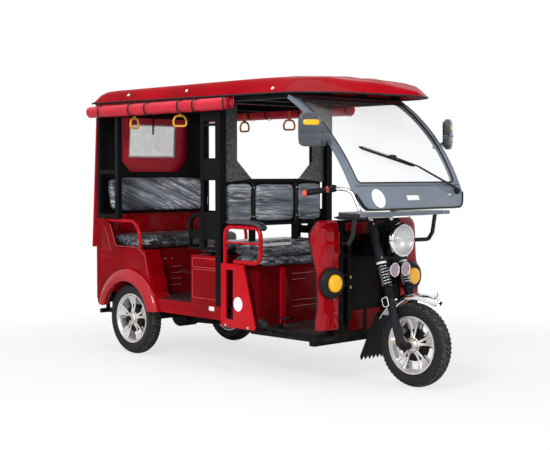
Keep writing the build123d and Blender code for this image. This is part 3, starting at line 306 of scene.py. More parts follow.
# name, colour, colour of its darker patches, waves of the sheet, coat, gloss
bodyRed, brightRed, roofRed, shieldRed, archHighlightRed, lineHighlightRed, deepShadeRed = (glossPaint(*row) for row in (
    ("bodyRed", (0.38, 0.001, 0.006), (0.22, 0.0005, 0.003)),
    ("tubeRed", (0.58, 0.003, 0.012), (0.46, 0.002, 0.008), 0.0004, 0.25),
    ("roofRed", (0.40, 0.001, 0.008), (0.28, 0.0005, 0.005), 0.0008, 0.04, 0.015),
    ("shieldRed", (0.34, 0.001, 0.006), (0.20, 0.0005, 0.003), 0.0006, 0.5),
    # The next red, brighter than the body red, is a painted highlight on the arch flares
    ("archHighlightRed", (0.50, 0.010, 0.020), (0.38, 0.003, 0.008), 0.0006, 0.5, 0.12),
    # The next, lighter red is a painted highlight for the raised lines on the panels
    ("lineHighlightRed", (0.64, 0.070, 0.085), (0.52, 0.040, 0.055), 0.0004, 0.4, 0.2),
    # The last, darker copy of the body red is painted shade for panels inside the cabin
    ("deepShadeRed", (0.20, 0.003, 0.006), (0.12, 0.002, 0.004))))
# name, colour, roughness, colour of its scuffs
fasciaMaroon, frameBlack, chassisBlack, forkSatin, hubRust = (satinPaint(*row) for row in (
    ("fasciaMaroon", (0.004, 0.002, 0.0025), 0.36),
    ("frameBlack", (0.004, 0.004, 0.005)),
    ("chassisBlack", (0.006, 0.006, 0.006), 0.42),
    ("forkSatin", (0.016, 0.018, 0.023), 0.26),
    ("hubRust", (0.30, 0.20, 0.14), 0.5, (0.5, 0.42, 0.34))))
# name, colour, roughness, coat, depth of the grain
trimRubber, flapRubber, slateGrey, mirrorGrey, darkGrey, padGrey, webbing = (mouldedPlastic(*row) for row in (
    ("trimRubber", (0.006, 0.006, 0.007), 0.5, 0.0),
    ("flapRubber", (0.008, 0.008, 0.008), 0.66, 0.0, 0.0004),
    ("slateGrey", (0.135, 0.162, 0.205), 0.34, 0.5),
    ("mirrorGrey", (0.060, 0.070, 0.082), 0.36, 0.3),
    ("darkGrey", (0.010, 0.011, 0.013), 0.40, 0.15),
    ("padGrey", (0.030, 0.034, 0.040), 0.34, 0.55),
    ("webbing", (0.012, 0.012, 0.013), 0.75, 0.0, 0.0006)))
paintedHighlightPink, handleYellow, handleOrange, gripRed, blankWhite = (mouldedPlastic(*row) for row in (
    # The next pale pink is a painted highlight colour for thin lines along pressed ribs
    ("paintedHighlightPink", (0.62, 0.16, 0.18), 0.25, 0.6),
    ("handleYellow", (0.86, 0.40, 0.02), 0.3, 0.6),
    ("handleOrange", (0.74, 0.28, 0.03), 0.34, 0.5),
    ("gripRed", (0.80, 0.11, 0.05), 0.4, 0.3),
    ("blankWhite", (0.80, 0.81, 0.82), 0.35, 0.3, 0.00005)))
# name, colour, roughness, brush
chrome, steel, brass, springSteel = (brightMetal(*row) for row in (
    ("chrome", (0.80, 0.81, 0.83)),
    ("plainSteel", (0.50, 0.50, 0.51), 0.3, 0.4),
    ("boltBrass", (0.72, 0.50, 0.20), 0.22),
    ("springSteel", (0.34, 0.35, 0.38), 0.2)))
# name, colour, glow, prisms to the metre, alpha
amber, tailRed, whiteLens, smallLens = (lampLens(*row) for row in (
    ("amberLens", (0.93, 0.47, 0.002), 0.30),
    ("tailLens", (0.60, 0.01, 0.01), 0.10),
    ("clearLens", (0.90, 0.91, 0.94), 0.25, 160.0, 0.35),
    ("smallLens", (0.40, 0.28, 0.33), 0.05, 190.0)))
# name, turn of the creases, stretch along them, strength of the painted highlight streaks, dark and pale ground
seatAcross, seatLevel, seatFlat = (wrappedSeat(*row) for row in (
    ("seatAcross", (0.42, 0.0, 0.0), (0.6, 0.13, 2.4)),
    ("seatLevel", (0.04, 0.0, 0.0), (0.6, 0.10, 2.2), 0.60),
    # The flat cushions take a far darker ground and weaker painted highlights than the backrests: painted shade on
    # their tops
    ("seatFlat", (0.0, 0.0, 0.35), (2.0, 0.16, 1.6), 0.5, (0.010, 0.013, 0.018), (0.062, 0.076, 0.098))))
rubber, treadRubber = tyreRubber("tyreSide", 0.10), tyreRubber("tyreTread", 0.85)
wheelMetal, canvas, vinyl, glass = alloyWheel(), canvasCloth(), clearVinyl(), screenGlass()
carved, matBlack = carvedPlate(), ribbedMat()
print("finishes made")


# Shapes worked out on grids
def unit(v):
    v = np.asarray(v, float)
    return v / np.maximum(np.linalg.norm(v, axis=-1, keepdims=True), 1e-12)


def roundTurn(count):
    return np.linspace(0, 2 * np.pi, count, endpoint=False)


def circle(radius, count=16):
    # radius times (cos a, sin a)
    a = roundTurn(count)
    return radius * np.stack([np.cos(a), np.sin(a)], 1)


def roundedBar(width, height, power=5.0, count=20):
    # Superellipse: |x / half width| ** power + |y / half height| ** power = 1
    c, s = np.cos(roundTurn(count)), np.sin(roundTurn(count))
    return np.stack([np.sign(c) * np.abs(c) ** (2 / power) * width / 2,
                     np.sign(s) * np.abs(s) ** (2 / power) * height / 2], 1)


def softCorners(points, bend, steps=7):
    # Each corner becomes a quadratic curve between points bend short of it
    pts = np.array(points, float)
    t = np.linspace(0, 1, steps)[:, None]
    runs = [pts[:1]]
    for before, corner, after in zip(pts[:-2], pts[1:-1], pts[2:]):
        reach = min(bend, 0.48 * np.linalg.norm(before - corner), 0.48 * np.linalg.norm(after - corner))
        a = corner + unit(before - corner) * reach
        b = corner + unit(after - corner) * reach
        runs.append((1 - t) ** 2 * a + 2 * t * (1 - t) * corner + t ** 2 * b)
    return np.vstack(runs + [pts[-1:]])


def closedLoop(points, bend, steps=6):
    # softCorners round a closed outline, begun in the middle of its last side
    points = np.asarray(points, float)
    start = (points[-1:] + points[:1]) / 2
    return softCorners(np.vstack([start, points, start]), bend, steps)[:-1]


def carry(path, profile, up=(0, 0, 1), size=None, ring=False):
    # point = path + size * (profile x along side + profile y along top), side = up x tangent
    path = np.asarray(path, float)
    run = np.roll(path, -1, 0) - np.roll(path, 1, 0) if ring else np.gradient(path, axis=0)
    tangent = unit(run)
    side = unit(np.cross(np.broadcast_to(up, tangent.shape), tangent))
    top = np.cross(tangent, side)
    size = np.ones(len(path)) if size is None else np.asarray(size, float)
    spread = profile[None, :, 0:1] * side[:, None] + profile[None, :, 1:2] * top[:, None]
    return path[:, None] + size[:, None, None] * spread


def turned(profile, centre, axis, count=48):
    # point = centre + radius * (cos a u + sin a v) + along * axis
    axis = unit(axis)
    u = unit(np.cross((0, 0, 1) if abs(axis[2]) < 0.9 else (1, 0, 0), axis))
    v = np.cross(axis, u)
    a = roundTurn(count)
    spoke = np.cos(a)[:, None] * u + np.sin(a)[:, None] * v
    profile = np.asarray(profile, float)
    return np.asarray(centre) + spoke[:, None] * profile[None, :, 0:1] + profile[None, :, 1:2] * axis


def rounded(centre, size, power=4.0, rows=22, columns=40):
    # Superellipsoid: each half size times signed powers of cos and sin of two angles
    b = np.linspace(-np.pi / 2, np.pi / 2, rows)[:, None]
    a = roundTurn(columns)[None, :]
    lift = lambda x: np.sign(x) * np.abs(x) ** (2 / power)
    x = lift(np.cos(b)) * lift(np.cos(a))
    y = lift(np.cos(b)) * lift(np.sin(a))
    z = lift(np.sin(b)) * np.ones_like(a)
    return np.asarray(centre) + np.stack([x, y, z], -1) * np.asarray(size) / 2


def ripple(p, seed, scale):
    # Sum of five sines of turned, warped places: smooth and the same on each run
    rng = np.random.default_rng(seed)
    total = np.zeros(p.shape[:-1])
    for n in range(5):
        way = rng.normal(size=3)
        way /= np.linalg.norm(way)
        warp = 1.3 * np.sin(p @ rng.normal(size=3) * scale * 0.5)
        total += np.sin(p @ (way * scale * (1 + 0.7 * n)) + warp + rng.uniform(0, 6)) / (n + 1)
    return total / 2.3


def crossed(low1, high1, count1, low2, high2, count2):
    # Two evenly spaced runs crossed into a grid
    return np.meshgrid(np.linspace(low1, high1, count1), np.linspace(low2, high2, count2), indexing="ij")


class Piece:
    # Gathers grids of points into one mesh object; rod, hoop, spin, lump and head close them as each needs
    def __init__(self, name):
        self.name, self.count = name, 0
        self.points, self.faces, self.marks = [], [], []

    def add(self, points, material=0, ringU=False, ringV=False, caps=False, keep=None):
        points = np.asarray(points, float)
        nu, nv = points.shape[:2]
        index = np.arange(nu * nv).reshape(nu, nv) + self.count
        i = np.arange(nu if ringU else nu - 1)[:, None]
        j = np.arange(nv if ringV else nv - 1)[None, :]
        i2, j2 = (i + 1) % nu, (j + 1) % nv
        quads = np.stack([index[i, j], index[i2, j], index[i2, j2], index[i, j2]], -1)
        quads = quads[keep] if keep is not None else quads.reshape(-1, 4)
        self.points.append(points.reshape(-1, 3))
        self.faces += quads.tolist()
        self.marks += [material] * len(quads)
        self.count += nu * nv
        if caps:
            for row in (0, nu - 1):
                self.points.append(points[row].mean(0)[None])
                ring = index[row]
                fan = np.stack([ring, np.roll(ring, -1), np.full(nv, self.count)], -1)
                self.faces += fan.tolist()
                self.marks += [material] * nv
                self.count += 1
        return self

    def both(self, points, *args, **kinds):
        # The same grid on the right and, mirrored, on the left
        points = np.asarray(points, float)
        self.add(points, *args, **kinds)
        return self.add(points * (1, -1, 1), *args, **kinds)

    def put(self, pair, points, mark, **kinds):
        return (self.both if pair else self.add)(points, mark, **kinds)

    def rod(self, path, profile, up=(0, 0, 1), size=None, mark=0, pair=False):
        return self.put(pair, carry(path, profile, up, size), mark, ringV=True, caps=True)

    def hoop(self, path, profile, up, mark=0):
        return self.add(carry(path, profile, up, ring=True), mark, ringU=True, ringV=True)

    def spin(self, profile, centre, axis, count=48, mark=0, pair=False):
        return self.put(pair, turned(profile, centre, axis, count), mark, ringU=True)

    def lump(self, points, mark=0, pair=False):
        return self.put(pair, points, mark, ringV=True)

    def head(self, points, mark=0, pair=False):
        return self.put(pair, points, mark, ringU=True)

    def make(self, materials, rides="body", stands=(), slot=None, sharp=38, merge=2e-5):
        mesh = bpy.data.meshes.new(self.name)
        mesh.from_pydata(np.vstack(self.points).tolist(), [], self.faces)
        mesh.polygons.foreach_set("material_index", self.marks)
        finishMesh(mesh, sharp, merge)
        return placed(self.name, mesh, materials, rides, stands)


def finishMesh(mesh, sharp, merge):
    work = bmesh.new()
    work.from_mesh(mesh)
    bmesh.ops.remove_doubles(work, verts=work.verts, dist=merge)
    bmesh.ops.dissolve_degenerate(work, edges=work.edges, dist=merge / 2)
    bmesh.ops.recalc_face_normals(work, faces=work.faces)
    limit = math.radians(sharp)
    for face in work.faces:
        face.smooth = True
    for edge in work.edges:
        edge.smooth = edge.calc_face_angle(0.0) < limit
    work.to_mesh(mesh)
    work.free()


def placed(name, mesh, materials, rides, stands):
    thing = bpy.data.objects.new(name, mesh)
    for material in materials:
        mesh.materials.append(material)
    scene.collection.objects.link(thing)
    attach(thing, rides)
    if stands:
        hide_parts(*stands)
    return thing


def thicken(thing, depth, offset=-1.0):
    wall = thing.modifiers.new("wall", "SOLIDIFY")
    wall.thickness, wall.offset = depth, offset
    wall.use_even_offset = True
    return thing


def dressed(node, materials, rides="body", edge=0.0012, choose=None):
    # A merged copy of a CAD node with its hard edges rounded over; choose picks each face's material
    mesh = nodes[node].data.copy()
    mesh.name = node + "Dressed"
    mesh.materials.clear()
    work = bmesh.new()
    work.from_mesh(mesh)
    bmesh.ops.remove_doubles(work, verts=work.verts, dist=3e-5)
    bmesh.ops.dissolve_limit(work, angle_limit=math.radians(0.02), verts=work.verts, edges=work.edges)
    for face in work.faces:
        face.smooth = True
        face.material_index = choose(face.calc_center_median(), face.normal) if choose else 0
    for item in work.edges:
        item.smooth = item.calc_face_angle(0.0) < math.radians(30)
    work.to_mesh(mesh)
    work.free()
    thing = placed(node + "Dressed", mesh, materials, rides, [node])
    if edge:
        bevel = thing.modifiers.new("edges", "BEVEL")
        bevel.width, bevel.segments = edge, 2
        bevel.limit_method, bevel.angle_limit = "ANGLE", math.radians(35)
        bevel.harden_normals = True
        bevel.miter_outer = "MITER_ARC"
    return thing


def paintNode(node, material):
    thing = nodes[node]
    thing.data.materials.clear()
    thing.data.materials.append(material)


def domeHead(centre, axis, radius):
    # Low dome: radius * cos b out, 0.55 * radius * sin b up
    b = np.linspace(0, np.pi / 2, 6)
    profile = np.stack([radius * np.cos(b), radius * 0.55 * np.sin(b)], 1)
    return turned(np.vstack([[radius, -0.001], profile]), centre, axis, 14)


def hexHead(centre, axis, radius, height):
    profile = [(0, height), (radius * 0.82, height), (radius, height * 0.8), (radius, 0), (0, 0)]
    return turned(profile, centre, axis, 6)


# Roof
roofShape = {
    "rear": -1.306, "bend": 0.56, "nose": 1.140, "half": 0.520, "camber": 0.030, "wall": 0.0045,
    "crownX": (-1.307, -1.296, -1.27, -1.21, -1.12, 0.30, 0.455, 0.70, 0.97, 1.100, 1.140),
    "crownZ": (1.722, 1.748, 1.775, 1.789, 1.792, 1.791, 1.788, 1.769, 1.724, 1.681, 1.664),
    "edgeX": (-1.307, -0.65, 0.31, 0.56, 0.875, 1.0, 1.140),
    "edgeZ": (1.692, 1.685, 1.675, 1.672, 1.664, 1.656, 1.646),
    "ribs": (-0.30, -0.10, 0.10, 0.30), "ribRise": 0.007, "ribWidth": 0.022,
    "snaps": (-0.917, -0.307, 0.475), "snapAt": 0.955, "snapRadius": 0.011,
}


def roofHalf(x):
    # 0.52 up to the bend, then 0.52 * (1 - t ** 1.8) ** 0.75 to the nose
    t = np.clip((x - roofShape["bend"]) / (roofShape["nose"] - roofShape["bend"]), 0, 1)
    return roofShape["half"] * (1 - t ** 1.8) ** 0.75


def roofEdge(x):
    return np.interp(x, roofShape["edgeX"], roofShape["edgeZ"])


def roofHeight(x, f):
    # crown - camber * f ** 2 - drop * ramp ** power, the ramp starting nearer the middle towards the nose
    crown = np.interp(x, roofShape["crownX"], roofShape["crownZ"])
    camber = roofShape["camber"] * np.clip((roofShape["nose"] - x) / 0.6, 0.15, 1)
    start = np.interp(x, (0.1, 0.6, 1.0, 1.14), (0.86, 0.74, 0.55, 0.3))
    power = np.interp(x, (0.1, 0.8), (2.0, 1.5))
    f = np.abs(f)
    ramp = np.clip((f - start) / (1 - start), 0, 1)
    z = crown - camber * f ** 2
    return z - (z - roofEdge(x)) * ramp ** power


def makeRoof():
    # x runs back to nose, closer at both ends; y is the half width times a row that is closer at the edges
    spread = np.linspace(-1, 1, 61)
    across = np.sign(spread) * (1 - (1 - np.abs(spread)) ** 1.6)
    ends = np.linspace(0, 1, 26) ** 1.8
    x = np.concatenate([roofShape["rear"] + 0.25 * ends, np.linspace(-1.0, 0.4, 20), np.linspace(0.45, 1.0, 26),
                        1.0 + 0.14 * (1 - (1 - np.linspace(0.08, 1, 16)) ** 2)])
    half = np.maximum(roofHalf(x), 1e-4)
    grid = np.empty((len(x), len(across), 3))
    grid[..., 0] = x[:, None]
    grid[..., 1] = half[:, None] * across
    z = roofHeight(x[:, None], across[None, :])
    run = np.clip((x[:, None] - 0.30) / 0.2, 0, 1) * np.clip((1.06 - x[:, None]) / 0.12, 0, 1)
    ribs = sum(np.exp(-((grid[..., 1] - y) / roofShape["ribWidth"]) ** 2) for y in roofShape["ribs"])
    grid[..., 2] = z + roofShape["ribRise"] * ribs * run * (1 - np.clip((np.abs(across) - 0.5) / 0.3, 0, 1))
    wall = grid[:1].copy()
    wall[..., 2] = roofEdge(roofShape["rear"])
    shell = Piece("roofShell").add(np.concatenate([wall, grid]))
    thicken(shell.make([roofRed], "body", ["roof_shell"], "red_plastic", 50), roofShape["wall"])


makeRoof()

edgeRun = np.concatenate([np.linspace(-1.306, 0.5, 24), 0.52 + 0.62 * (1 - (1 - np.linspace(0, 1, 40)) ** 1.8)])
edgePath = np.stack([edgeRun, -roofHalf(edgeRun), roofEdge(edgeRun) - 0.003], 1)
edgePath = np.vstack([edgePath, (edgePath[::-1] * (1, -1, 1))[1:]])
rearEdge = np.stack([np.full(9, -1.308), np.linspace(-0.52, 0.52, 9), np.full(9, 1.689)], 1)
edgeBead = roundedBar(0.009, 0.011, 3, 10)
Piece("roofEdgeStrip").rod(edgePath, edgeBead).rod(rearEdge, edgeBead).make([trimRubber], "body", slot="rubber")

dots = Piece("roofSnaps")
for x in roofShape["snaps"]:
    z = float(roofHeight(np.array(x), np.array(roofShape["snapAt"])))
    place = (x, -roofShape["snapAt"] * 0.52, z - 0.001)
    dots.head(domeHead(place, (0, -0.75, 0.66), roofShape["snapRadius"]), 0, True)
dots.make([blankWhite], "body", slot="grey_plastic")
print("roof made")


# Rolled side curtains
curtain = {
    "centreY": -0.5323, "centreZ": 1.628, "radius": 0.0418, "pitch": 0.0078, "turns": 4.3, "rear": -1.308,
    "front": 0.136, "hangs": 1.686, "cloth": 0.0016, "straps": (-1.170, -0.828, -0.654, -0.315, -0.168, 0.120),
    "strapRadius": 0.0432,
}


def makeCurtain(name, side):
    # Hangs from the rail, goes under and winds outwards in: radius falls by one pitch a turn
    c = curtain
    x = np.linspace(c["rear"], c["front"], 120)[:, None]
    hang = np.linspace(c["hangs"], c["centreZ"], 7)[:-1]
    a = np.linspace(0, 2 * np.pi * c["turns"], int(22 * c["turns"]))
    radius = c["radius"] - c["pitch"] * a / (2 * np.pi)
    grip = np.exp(-((x - np.array(c["straps"])) / 0.022) ** 2).sum(1, keepdims=True)
    place = np.stack([x + 0 * a, np.cos(a) + 0 * x, np.sin(a) + 0 * x], -1)
    swell = 1 - 0.085 * grip + 0.040 * ripple(place * (1, 0.5, 0.5), 3 + side, 9)
    swell = swell + 0.025 * ripple(place * (1, 1.5, 1.5), 9, 24) - 0.035
    y = c["centreY"] + np.cos(a) * radius * swell
    z = c["centreZ"] - np.sin(a) * radius * swell
    roll = np.stack([x + 0 * a, y, z], -1)
    flat = np.stack([x + 0 * hang, y[:, :1] + 0 * hang, hang + 0 * x], -1)
    grid = np.concatenate([flat, roll], 1) * (1, -side, 1)
    thing = Piece(name).add(grid).make([canvas], "body", slot="canvas", sharp=60)
    thicken(thing, c["cloth"], 0.0)
    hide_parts("curtain_rolls")


makeCurtain("curtainRight", 1)
makeCurtain("curtainLeft", -1)
bands = Piece("curtainStraps")
bandTape = roundedBar(0.002, 0.013, 4, 8)
rollY, rollZ = curtain["centreY"], curtain["centreZ"]
for x in curtain["straps"]:
    a = np.linspace(0.15, 1.02, 30) * 2 * np.pi
    around = curtain["strapRadius"] * np.stack([np.sin(a), np.cos(a)])
    loop = np.stack([x + 0.004 * np.sin(3 * a), rollY + around[0], rollZ + around[1]], 1)
    bands.rod(loop, bandTape, (1, 0, 0), pair=True)
    tail = np.array([[x + 0.002, -0.500, 1.655], [x + 0.003, -0.4935, 1.672], [x + 0.003, -0.4935, 1.700]])
    bands.rod(tail, bandTape, (1, 0, 0), pair=True)
    bands.lump(rounded((x, rollY - 0.014, rollZ + 0.041), (0.020, 0.012, 0.005), 4, 8, 12), 0, True)
bands.make([webbing], "body", slot="rubber")
print("curtains rolled")


# Grab handles
handle = {
    # x, y, turn about its strap in degrees, ring and strap finishes
    "places": ((-0.889, -0.470, 104, 0, 2), (-0.408, -0.470, 46, 0, 2), (-0.846, 0.470, 6, 1, 1),
               (-0.386, 0.470, 22, 1, 1)),
    "ring": ((-0.026, 0, 0.034), (0.026, 0, 0.034), (0.042, 0, 0.004), (0.038, 0, -0.030), (-0.038, 0, -0.030),
             (-0.042, 0, 0.004)),
    "height": 1.540, "bend": 0.014, "bar": 0.0068,
}
grabs = Piece("grabHandles")
for x, y, turn, ringMark, strapMark in handle["places"]:
    c, s = math.cos(math.radians(turn)), math.sin(math.radians(turn))
    ring = closedLoop(handle["ring"], handle["bend"])[:, [0, 2]]
    flatRing = np.stack([x + c * ring[:, 0], y + s * ring[:, 0], handle["height"] + ring[:, 1]], 1)
    grabs.hoop(flatRing, circle(handle["bar"], 10), (-s, c, 0), ringMark)
    strap = np.array([[x, y, 1.5745], [x + 0.001, y, 1.60], [x - 0.001, y, 1.62], [x, y, 1.6395]])
    grabs.rod(strap, roundedBar(0.003, 0.020, 4, 8), (-s, c, 0), mark=strapMark)
    grabs.lump(rounded((x, y, 1.579), (0.024, 0.018, 0.022), 3, 10, 16), ringMark)
grabs.make([handleYellow, handleOrange, webbing], "body", ["grab_handles"], "handle_plastic")
print("handles made")


# Rear canvas and its window
backSheet = {"half": 0.488, "top": 1.686, "low": 0.702, "lean": 0.064, "windowHalf": 0.195,
             "windowLow": 1.334, "windowHigh": 1.548, "lap": 0.012, "cloth": 0.0018, "pane": 0.0008}


def backSheetX(z):
    # Leans back in a straight line from the roof rail down
    b = backSheet
    return -1.2983 - b["lean"] * (b["top"] - z) / (b["top"] - b["low"]) - 0.0018


def makeBackSheet():
    # Flat lean plus shallow folds that die out at the edges and round the window
    b = backSheet
    half, top, low = b["half"], b["top"], b["low"]
    paneHalf, paneLow, paneHigh, lap = b["windowHalf"], b["windowLow"], b["windowHigh"], b["lap"]
    y = np.concatenate([np.linspace(-half, -paneHalf, 26), np.linspace(-paneHalf, paneHalf, 30)[1:-1],
                        np.linspace(paneHalf, half, 26)])
    z = np.concatenate([np.linspace(low, paneLow, 48), np.linspace(paneLow, paneHigh, 18)[1:-1],
                        np.linspace(paneHigh, top, 14)])
    yy, zz = np.meshgrid(y, z, indexing="ij")
    above = np.minimum(np.abs(zz - paneLow), np.abs(zz - paneHigh))
    far = np.minimum(np.abs(np.abs(yy) - paneHalf), above + 0.2)
    edge = np.clip(np.minimum(half - np.abs(yy), np.minimum(zz - low, top - zz)) / 0.08, 0, 1)
    fold = ripple(np.stack([yy, zz * 0.55, 0 * yy], -1), 21, 15) * 0.5 + 0.5
    push = 0.009 * fold * edge * np.clip(far / 0.1, 0.25, 1)
    midY, midZ = (yy[:-1, :-1] + yy[1:, 1:]) / 2, (zz[:-1, :-1] + zz[1:, 1:]) / 2
    hole = (np.abs(midY) < paneHalf) & (midZ > paneLow) & (midZ < paneHigh)
    thing = Piece("rearCanvas").add(np.stack([backSheetX(zz) - push, yy, zz], -1), keep=~hole)
    thing = thing.make([canvas], "body", ["rear_canvas"], "canvas", 60)
    thicken(thing, b["cloth"], 0.0)
    yy, zz = crossed(-paneHalf - lap, paneHalf + lap, 44, paneLow - lap, paneHigh + lap, 26)
    crinkle = 0.0016 * ripple(np.stack([yy, zz, 0 * yy], -1), 5, 60)
    pane = Piece("rearWindow").add(np.stack([backSheetX(zz) + 0.0035 + crinkle, yy, zz], -1))
    pane = pane.make([vinyl], "body", ["rear_window"], "clear", 60)
    thicken(pane, b["pane"], 0.0)


makeBackSheet()
hanging = [[-1.276, -0.022, 1.640], [-1.274, -0.022, 1.60], [-1.276, -0.022, 1.55], [-1.278, -0.022, 1.486]]
windowStrap = Piece("windowStrap").rod(hanging, roundedBar(0.002, 0.020, 4, 8), (1, 0, 0))
windowStrap.make([webbing], "body", slot="rubber")
print("canvas hung")


# Wrapped cushions
def flatten(thing):
    made = bpy.data.meshes.new_from_object(thing.evaluated_get(bpy.context.evaluated_depsgraph_get()))
    thing.modifiers.clear()
    thing.data = made


def pointsOf(mesh):
    places = np.empty(len(mesh.vertices) * 3)
    mesh.vertices.foreach_get("co", places)
    return places.reshape(-1, 3)


def puffed(thing, cap, pressure):
    # Voxel skin blown up by cloth pressure, no point moving further than cap
    remesh = thing.modifiers.new("skin", "REMESH")
    remesh.mode, remesh.voxel_size = "VOXEL", 0.010
    flatten(thing)
    start = pointsOf(thing.data)
    cloth = thing.modifiers.new("puff", "CLOTH")
    cloth.settings.quality = 4
    cloth.settings.use_pressure = True
    cloth.settings.uniform_pressure_force = pressure
    cloth.settings.effector_weights.gravity = 0.0
    cloth.settings.tension_stiffness = cloth.settings.compression_stiffness = 22
    cloth.settings.bending_stiffness = 2.0
    for step in range(1, 15):
        scene.frame_set(step)
    moved = pointsOf(thing.evaluated_get(bpy.context.evaluated_depsgraph_get()).data)
    thing.modifiers.clear()
    scene.frame_set(1)
    way = moved - start
    length = np.linalg.norm(way, axis=1, keepdims=True)
    way *= np.minimum(1, cap / np.maximum(length, 1e-9))
    thing.data.vertices.foreach_set("co", (start + way).ravel())


def makeCushion(name, centre, size, material, stands, seed, crease, depth=0.004, cap=0.010, lean=0.0):
    # A rounded block leaned about Y, puffed by cloth pressure, with drawn film creases pressed in
    size = np.array(size)
    block = rounded((0, 0, 0), size - 2 * cap * 0.6, 7.0, 40, 72)
    thing = Piece(name).lump(block).make([material], "body", [stands], "seat_cover", 80)
    puffed(thing, cap, 3.0)
    smooth = thing.modifiers.new("smooth", "SUBSURF")
    smooth.levels = smooth.render_levels = 1
    flatten(thing)
    mesh = thing.data
    p = pointsOf(mesh)
    outward = unit(p / (size / 2) ** 2)
    drawn = p * np.array(crease)
    fold = np.abs(ripple(drawn, seed, 16)) ** 0.7 + 0.5 * np.abs(ripple(drawn, seed + 1, 34)) - 0.6
    half = size / 2 + 0.004
    p = np.clip(p + outward * (fold * depth)[:, None], -half, half)
    c, s = math.cos(lean), math.sin(lean)
    p = np.stack([c * p[:, 0] + s * p[:, 2], p[:, 1], -s * p[:, 0] + c * p[:, 2]], 1) + np.array(centre)
    mesh.vertices.foreach_set("co", p.ravel())
    mesh.polygons.foreach_set("use_smooth", [True] * len(mesh.polygons))
    mesh.update()


# name, centre, size, the node it stands for, seed of its creases
for name, centre, size, stands, seed in (
        ("rearSeatCushion", (-1.038, 0, 0.7495), (0.414, 0.900, 0.094), "rear_cushion", 4),
        ("midSeatCushion", (-0.1695, 0, 0.7425), (0.221, 0.892, 0.079), "mid_cushion", 8),
        ("driverSeatLower", (0.160, 0, 0.683), (0.314, 0.856, 0.058), "driver_cushion", 12),
        ("driverSeatUpper", (0.160, 0, 0.740), (0.316, 0.858, 0.062), "driver_cushion", 14)):
    makeCushion(name, centre, size, seatFlat, stands, seed, (2, 0.8, 1))
makeCushion("rearSeatBack", (-1.232, 0, 1.065), (0.056, 0.894, 0.266), seatAcross, "rear_backrest", 20,
            (1, 1.0, 3.2), lean=math.atan2(-0.052, 0.266))
for label, y, width in (("Right", -0.3075, 0.213), ("Middle", 0.0, 0.346), ("Left", 0.3075, 0.213)):
    makeCushion("driverBack" + label, (-0.037, y, 1.027), (0.041, width, 0.248), seatLevel, "driver_backrest",
                30 + len(label), (1, 0.7, 3.5), depth=0.003, cap=0.006)
print("cushions wrapped")


# Wheels
axleZ = 0.240
wheels = (("front", 1.130, 0.0), ("rear_left", -0.938, 0.431), ("rear_right", -0.938, -0.431))
tyreShape = {
    "radius": 0.2395, "lugs": 54, "groove": 0.0065, "crown": 0.0385,
    "wall": ((0.166, -0.0315), (0.172, -0.0385), (0.186, -0.0450), (0.203, -0.0474), (0.217, -0.0455),
             (0.2262, -0.0405)),
}
# Radius and distance from the wheel's middle plane, for each turned part of a rim
rimShape = {
    "lip": ((0.1655, 0.030), (0.1655, 0.041), (0.162, 0.0425), (0.158, 0.0415), (0.156, 0.037),
            (0.152, 0.033), (0.1475, 0.028), (0.1435, 0.018), (0.1425, 0.006), (0.1425, 0.0)),
    "hub": ((0.0105, 0.051), (0.020, 0.052), (0.024, 0.050), (0.026, 0.040), (0.040, 0.030), (0.046, 0.024),
            (0.047, 0.0)),
    "disc": ((0.026, 0.0335), (0.040, 0.0315), (0.042, 0.0290), (0.042, 0.027), (0.026, 0.027)),
    "drum": ((0.030, 0.020), (0.088, 0.018), (0.092, 0.014), (0.092, 0.0)),
    "valve": ((0.1435, 0.012), (0.060, 0.0125)),
    "cap": ((0.0, 0.056), (0.008, 0.0555), (0.0135, 0.053), (0.0145, 0.049)),
    "innerCap": ((0.0105, 0.052), (0.016, 0.051)),
    "frontCap": ((0.0105, 0.052), (0.015, 0.0515), (0.016, 0.048)),
    "spokes": 5, "spokeFrom": 0.040, "nutCircle": 0.033,
}


def tyreGrid(x, y):
    # Section round the tyre, from bead to bead; the tread sinks where the lug pattern's waves are low
    t = tyreShape
    a = roundTurn(t["lugs"] * 10)[:, None]
    wall = np.array(t["wall"])
    crownY = np.linspace(-t["crown"], t["crown"], 33)
    crownR = t["radius"] - 0.0125 * (np.abs(crownY) / t["crown"]) ** 2.4
    r = np.concatenate([wall[:, 0], crownR, wall[::-1, 0]])[None, :]
    w = np.concatenate([wall[:, 1], crownY, -wall[::-1, 1]])[None, :]
    bank = np.abs(w) / t["crown"]
    phase = a * t["lugs"]
    shoulder = np.sin(phase + 0.8 * np.sign(w)) > -0.15
    middle = np.sin(phase + np.pi * (np.sin(w * 420) > 0)) > -0.45
    raised = np.where(bank > 0.62, shoulder, middle).astype(float)
    raised *= (np.abs(bank - 0.60) > 0.055) & (np.abs(bank - 0.20) > 0.05)
    onTread = np.clip((1.12 - bank) / 0.10, 0, 1) * np.clip((r - 0.2185) / 0.006, 0, 1)
    radial = r - t["groove"] * (1 - raised) * onTread
    return np.stack([x + radial * np.cos(a), y + w + 0 * a, axleZ + radial * np.sin(a)], -1)


